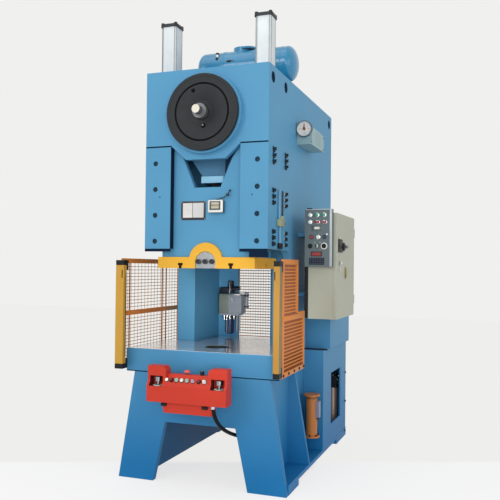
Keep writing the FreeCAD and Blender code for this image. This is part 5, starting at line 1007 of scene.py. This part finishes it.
for index in range(3):
    block(dial, (0.5012, -0.03 + 0.052 * index, 2.15), (0.5026, -0.028 + 0.052 * index, 2.238), 0.0004, 1)
piece("angle_dial", dial, [dark_steel], "frame")


# ---------------------------------------------------------------- electrical cabinet
# Folded sheet cabinet on two brackets, powder coated pale grey beige, with its door, main switch
# and locks on the outer side and a black cable duct down its inner edge.
beige = painted("cabinet_powder", (176, 179, 163), 0.55, 0.35)
dress("cabinet_body", beige, "frame", 0.002)
dress("cabinet_door", beige, "door", 0.003)
grip_grey = plastic("switch_grip", (58, 62, 66), 0.4, 0.1)
switch = bmesh.new()
turned(switch, (0.7, -0.0595, 1.4522), rightward,
       [(0, 0), (0.027, 0), (0.028, 0.004), (0.028, 0.008), (0.024, 0.012), (0, 0.012)], 40)
block(switch, (0.708, -0.093, 1.4425), (0.7298, -0.026, 1.462), 0.004, 3, 1)
piece("isolator_handle", switch, [black, grip_grey], "isolator", ["main_switch"])
duct = bmesh.new()
block(duct, (0.486, -0.2415, 0.985), (0.5118, -0.16, 1.64), 0.003, 2)
for index in range(6):
    block(duct, (0.485, -0.2425, 1.01 + 0.118 * index), (0.5118, -0.165, 1.018 + 0.118 * index), 0.001, 1)
piece("cable_duct", duct, black, "frame")
brass = worked("lock_brass", (150, 134, 70), 0.35, 0.1, 0.8)
locks = bmesh.new()
block(locks, (0.7028, -0.2085, 1.413), (0.7058, -0.0935, 1.499), 0.0012, 2)
block(locks, (0.7028, -0.19, 1.503), (0.7045, -0.15, 1.512), 0.0004, 1, 1)
block(locks, (0.705, -0.2055, 1.45), (0.709, -0.12, 1.465), 0.0014, 2)
turned(locks, (0.703, -0.164, 1.343), rightward,
       [(0, 0), (0.015, 0), (0.0165, 0.0015), (0.0165, 0.004), (0.012, 0.0055), (0.012, 0.012),
        (0.0105, 0.0135), (0, 0.0135)], 32, coat=1)
block(locks, (0.7028, -0.172, 1.288), (0.705, -0.156, 1.319), 0.001, 1, 1)
block(locks, (0.7028, 0.002, 1.24), (0.706, 0.026, 1.318), 0.0014, 2, 2)
block(locks, (0.7055, 0.008, 1.25), (0.711, 0.02, 1.302), 0.002, 2, 2)
piece("door_locks", locks, [black, chrome, brass], "door")


# ---------------------------------------------------------------- operator panel
# Powder-coated panel box with a plated edge strip: lamps in collars, displays, a keypad, and the
# selector and push button that the nodes bring.
panel_grey = painted("panel_powder", (98, 112, 116), 0.5, 0.2)
dress("control_panel", panel_grey, "frame", 0.002)
nodes["panel_knob"].material_slots[0].material = black
nodes["panel_button"].material_slots[0].material = white
lens_green = plastic("lens_green", (70, 170, 120), 0.15, 0.0)
lens_red_bright = plastic("lens_red", (150, 52, 54), 0.25, 0.0)
glass_dark = plastic("display_glass", (84, 98, 94), 0.2, 0.0)
key_blue = plastic("key_blue", (46, 56, 84), 0.4, 0.05)
front = -0.2855
panel = bmesh.new()
for x, z, coat in ((0.531, 1.651, 1), (0.578, 1.651, 2), (0.624, 1.651, 2), (0.531, 1.606, 1)):
    turned(panel, (x, front, z), forward,
           [(0.0115, -0.001), (0.015, -0.001), (0.0155, 0.001), (0.0155, 0.0045), (0.0115, 0.0055)], 32,
           closed=True)
    turned(panel, (x, front, z), forward,
           [(0, 0), (0.0115, 0), (0.0115, 0.006), (0.0085, 0.0095), (0.004, 0.0112), (0, 0.0115)], 32,
           coat=coat)
for x in (0.578, 0.626):
    block(panel, (x - 0.019, front - 0.004, 1.596), (x + 0.019, front + 0.001, 1.616), 0.0015, 2)
    block(panel, (x - 0.0165, front - 0.0058, 1.5985), (x + 0.0165, front - 0.002, 1.6135), 0.001, 2, 3)
block(panel, (0.542, front - 0.0035, 1.552), (0.616, front + 0.001, 1.582), 0.0015, 2, 5)
block(panel, (0.562, front - 0.0045, 1.559), (0.596, front - 0.003, 1.574), 0.0004, 1, 1)
for x, z, coat, radius in ((0.543, 1.509, 3, 0.011), (0.628, 1.509, 6, 0.01), (0.643, 1.526, 1, 0.0045),
                           (0.535, 1.451, 4, 0.0125)):
    turned(panel, (x, front, z), forward,
           [(radius, -0.001), (radius + 0.0025, -0.001), (radius + 0.0025, 0.0035), (radius, 0.0045)], 28,
           closed=True, coat=4 if coat != 1 else 0)
    plug(panel, (x, front, z), forward, radius, 0.005, radius * 0.8, 0.007, 28, coat)
turned(panel, (0.586, front, 1.509), forward,
       [(0.0115, -0.001), (0.015, -0.001), (0.015, 0.004), (0.0115, 0.005)], 32, closed=True)
turned(panel, (0.626, front, 1.451), forward,
       [(0.0155, -0.001), (0.0215, -0.001), (0.0215, 0.0035), (0.0195, 0.005), (0.0155, 0.005)], 40,
       closed=True, coat=1)
plug(panel, (0.583, front, 1.451), forward, 0.014, 0.004, 0.011, 0.0055, 32, 7)
block(panel, (0.58, front - 0.0115, 1.44), (0.586, front - 0.003, 1.462), 0.0012, 2, 1)
for x in (0.566, 0.6):
    block(panel, (x - 0.0025, front - 0.0006, 1.471), (x + 0.0025, front + 0.001, 1.4745), coat=1)
block(panel, (0.54, front - 0.0035, 1.385), (0.612, front + 0.001, 1.415), 0.0015, 2, 4)
block(panel, (0.545, front - 0.0045, 1.389), (0.607, front - 0.003, 1.411), 0.0004, 1, 3)
block(panel, (0.528, front - 0.002, 1.331), (0.628, front + 0.001, 1.376), 0.001, 1, 4)
for row in range(3):
    for column in range(6):
        block(panel, (0.532 + 0.016 * column, front - 0.004, 1.3345 + 0.014 * row),
              (0.544 + 0.016 * column, front - 0.001, 1.3445 + 0.014 * row), 0.001, 1, 6)
block(panel, (0.6615, front - 0.003, 1.319), (0.6765, front + 0.002, 1.688), 0.0012, 2, 8)
block(panel, (0.5, front - 0.0012, 1.684), (0.6765, front + 0.002, 1.6895), 0.0005, 1, 8)
block(panel, (0.506, -0.27, 1.6895), (0.54, -0.25, 1.698), 0.002, 2, 4)
strip_silver = worked("strip_silver", (176, 184, 186), 0.4, 0.1, 0.4, (14, 14, 1))
deep_green = plastic("deep_green", (30, 74, 56), 0.3, 0.05)
piece("panel_fittings", panel,
      [chrome, white, lens_green, lens_red_bright, black, glass_dark, key_blue, deep_green, strip_silver],
      "frame")


# ---------------------------------------------------------------- stroke counter
# Moulded counter on the slide: white bezel, five number wheels behind its window, and the bent
# lever with a ball end that drives it.
bezel_grey = plastic("bezel_grey", (74, 80, 84), 0.4, 0.1)
wheel_ivory = plastic("wheel_ivory", (196, 186, 160), 0.35, 0.05)
counter = bmesh.new()
block(counter, (0.017, -0.75, 1.639), (0.115, -0.7232, 1.715), 0.004, 2, 1)
block(counter, (0.017, -0.756, 1.639), (0.115, -0.748, 1.715), 0.0038, 3, 0)
block(counter, (0.029, -0.7566, 1.653), (0.101, -0.754, 1.708), 0.0012, 2, 1)
block(counter, (0.04, -0.7571, 1.663), (0.09, -0.7556, 1.7), 0.0004, 1, 2)
for index, figure in enumerate("00042"):
    x = 0.0455 + 0.0098 * index
    block(counter, (x + 0.0046, -0.7572, 1.664), (x + 0.0052, -0.756, 1.699), coat=1)
    figures(counter, figure, 0.019, (x, -0.7572, 1.6815), 3)
lever_y = -0.7385
lever = ((0.061, lever_y, 1.716), (0.116, lever_y, 1.7305), (0.139, lever_y, 1.747),
         (0.155, lever_y, 1.773))
for start, end, radius in zip(lever, lever[1:], (0.003, 0.003, 0.0034)):
    wire(counter, start, end, radius, 10, 3)
turned(counter, (0.139, lever_y, 1.7385), upward,
       [(0, 0), (0.007, 0.001), (0.0105, 0.0045), (0.0105, 0.0105), (0.007, 0.015), (0, 0.016)], 24, coat=3)
turned(counter, (0.155, lever_y, 1.766), upward,
       [(0, 0), (0.005, 0.001), (0.0065, 0.004), (0.0065, 0.008), (0.004, 0.011), (0, 0.0115)], 20, coat=4)
for x in (0.0205, 0.1115):
    for z in (1.6425, 1.7115):
        turned(counter, (x, -0.7555, z), forward, [(0.0016, 0), (0.0014, 0.0008), (0, 0.001)], 12, coat=3)
piece("counter_case", counter, [white, bezel_grey, wheel_ivory, plate_black, screw_blue], "ram",
      ["counter_box"])
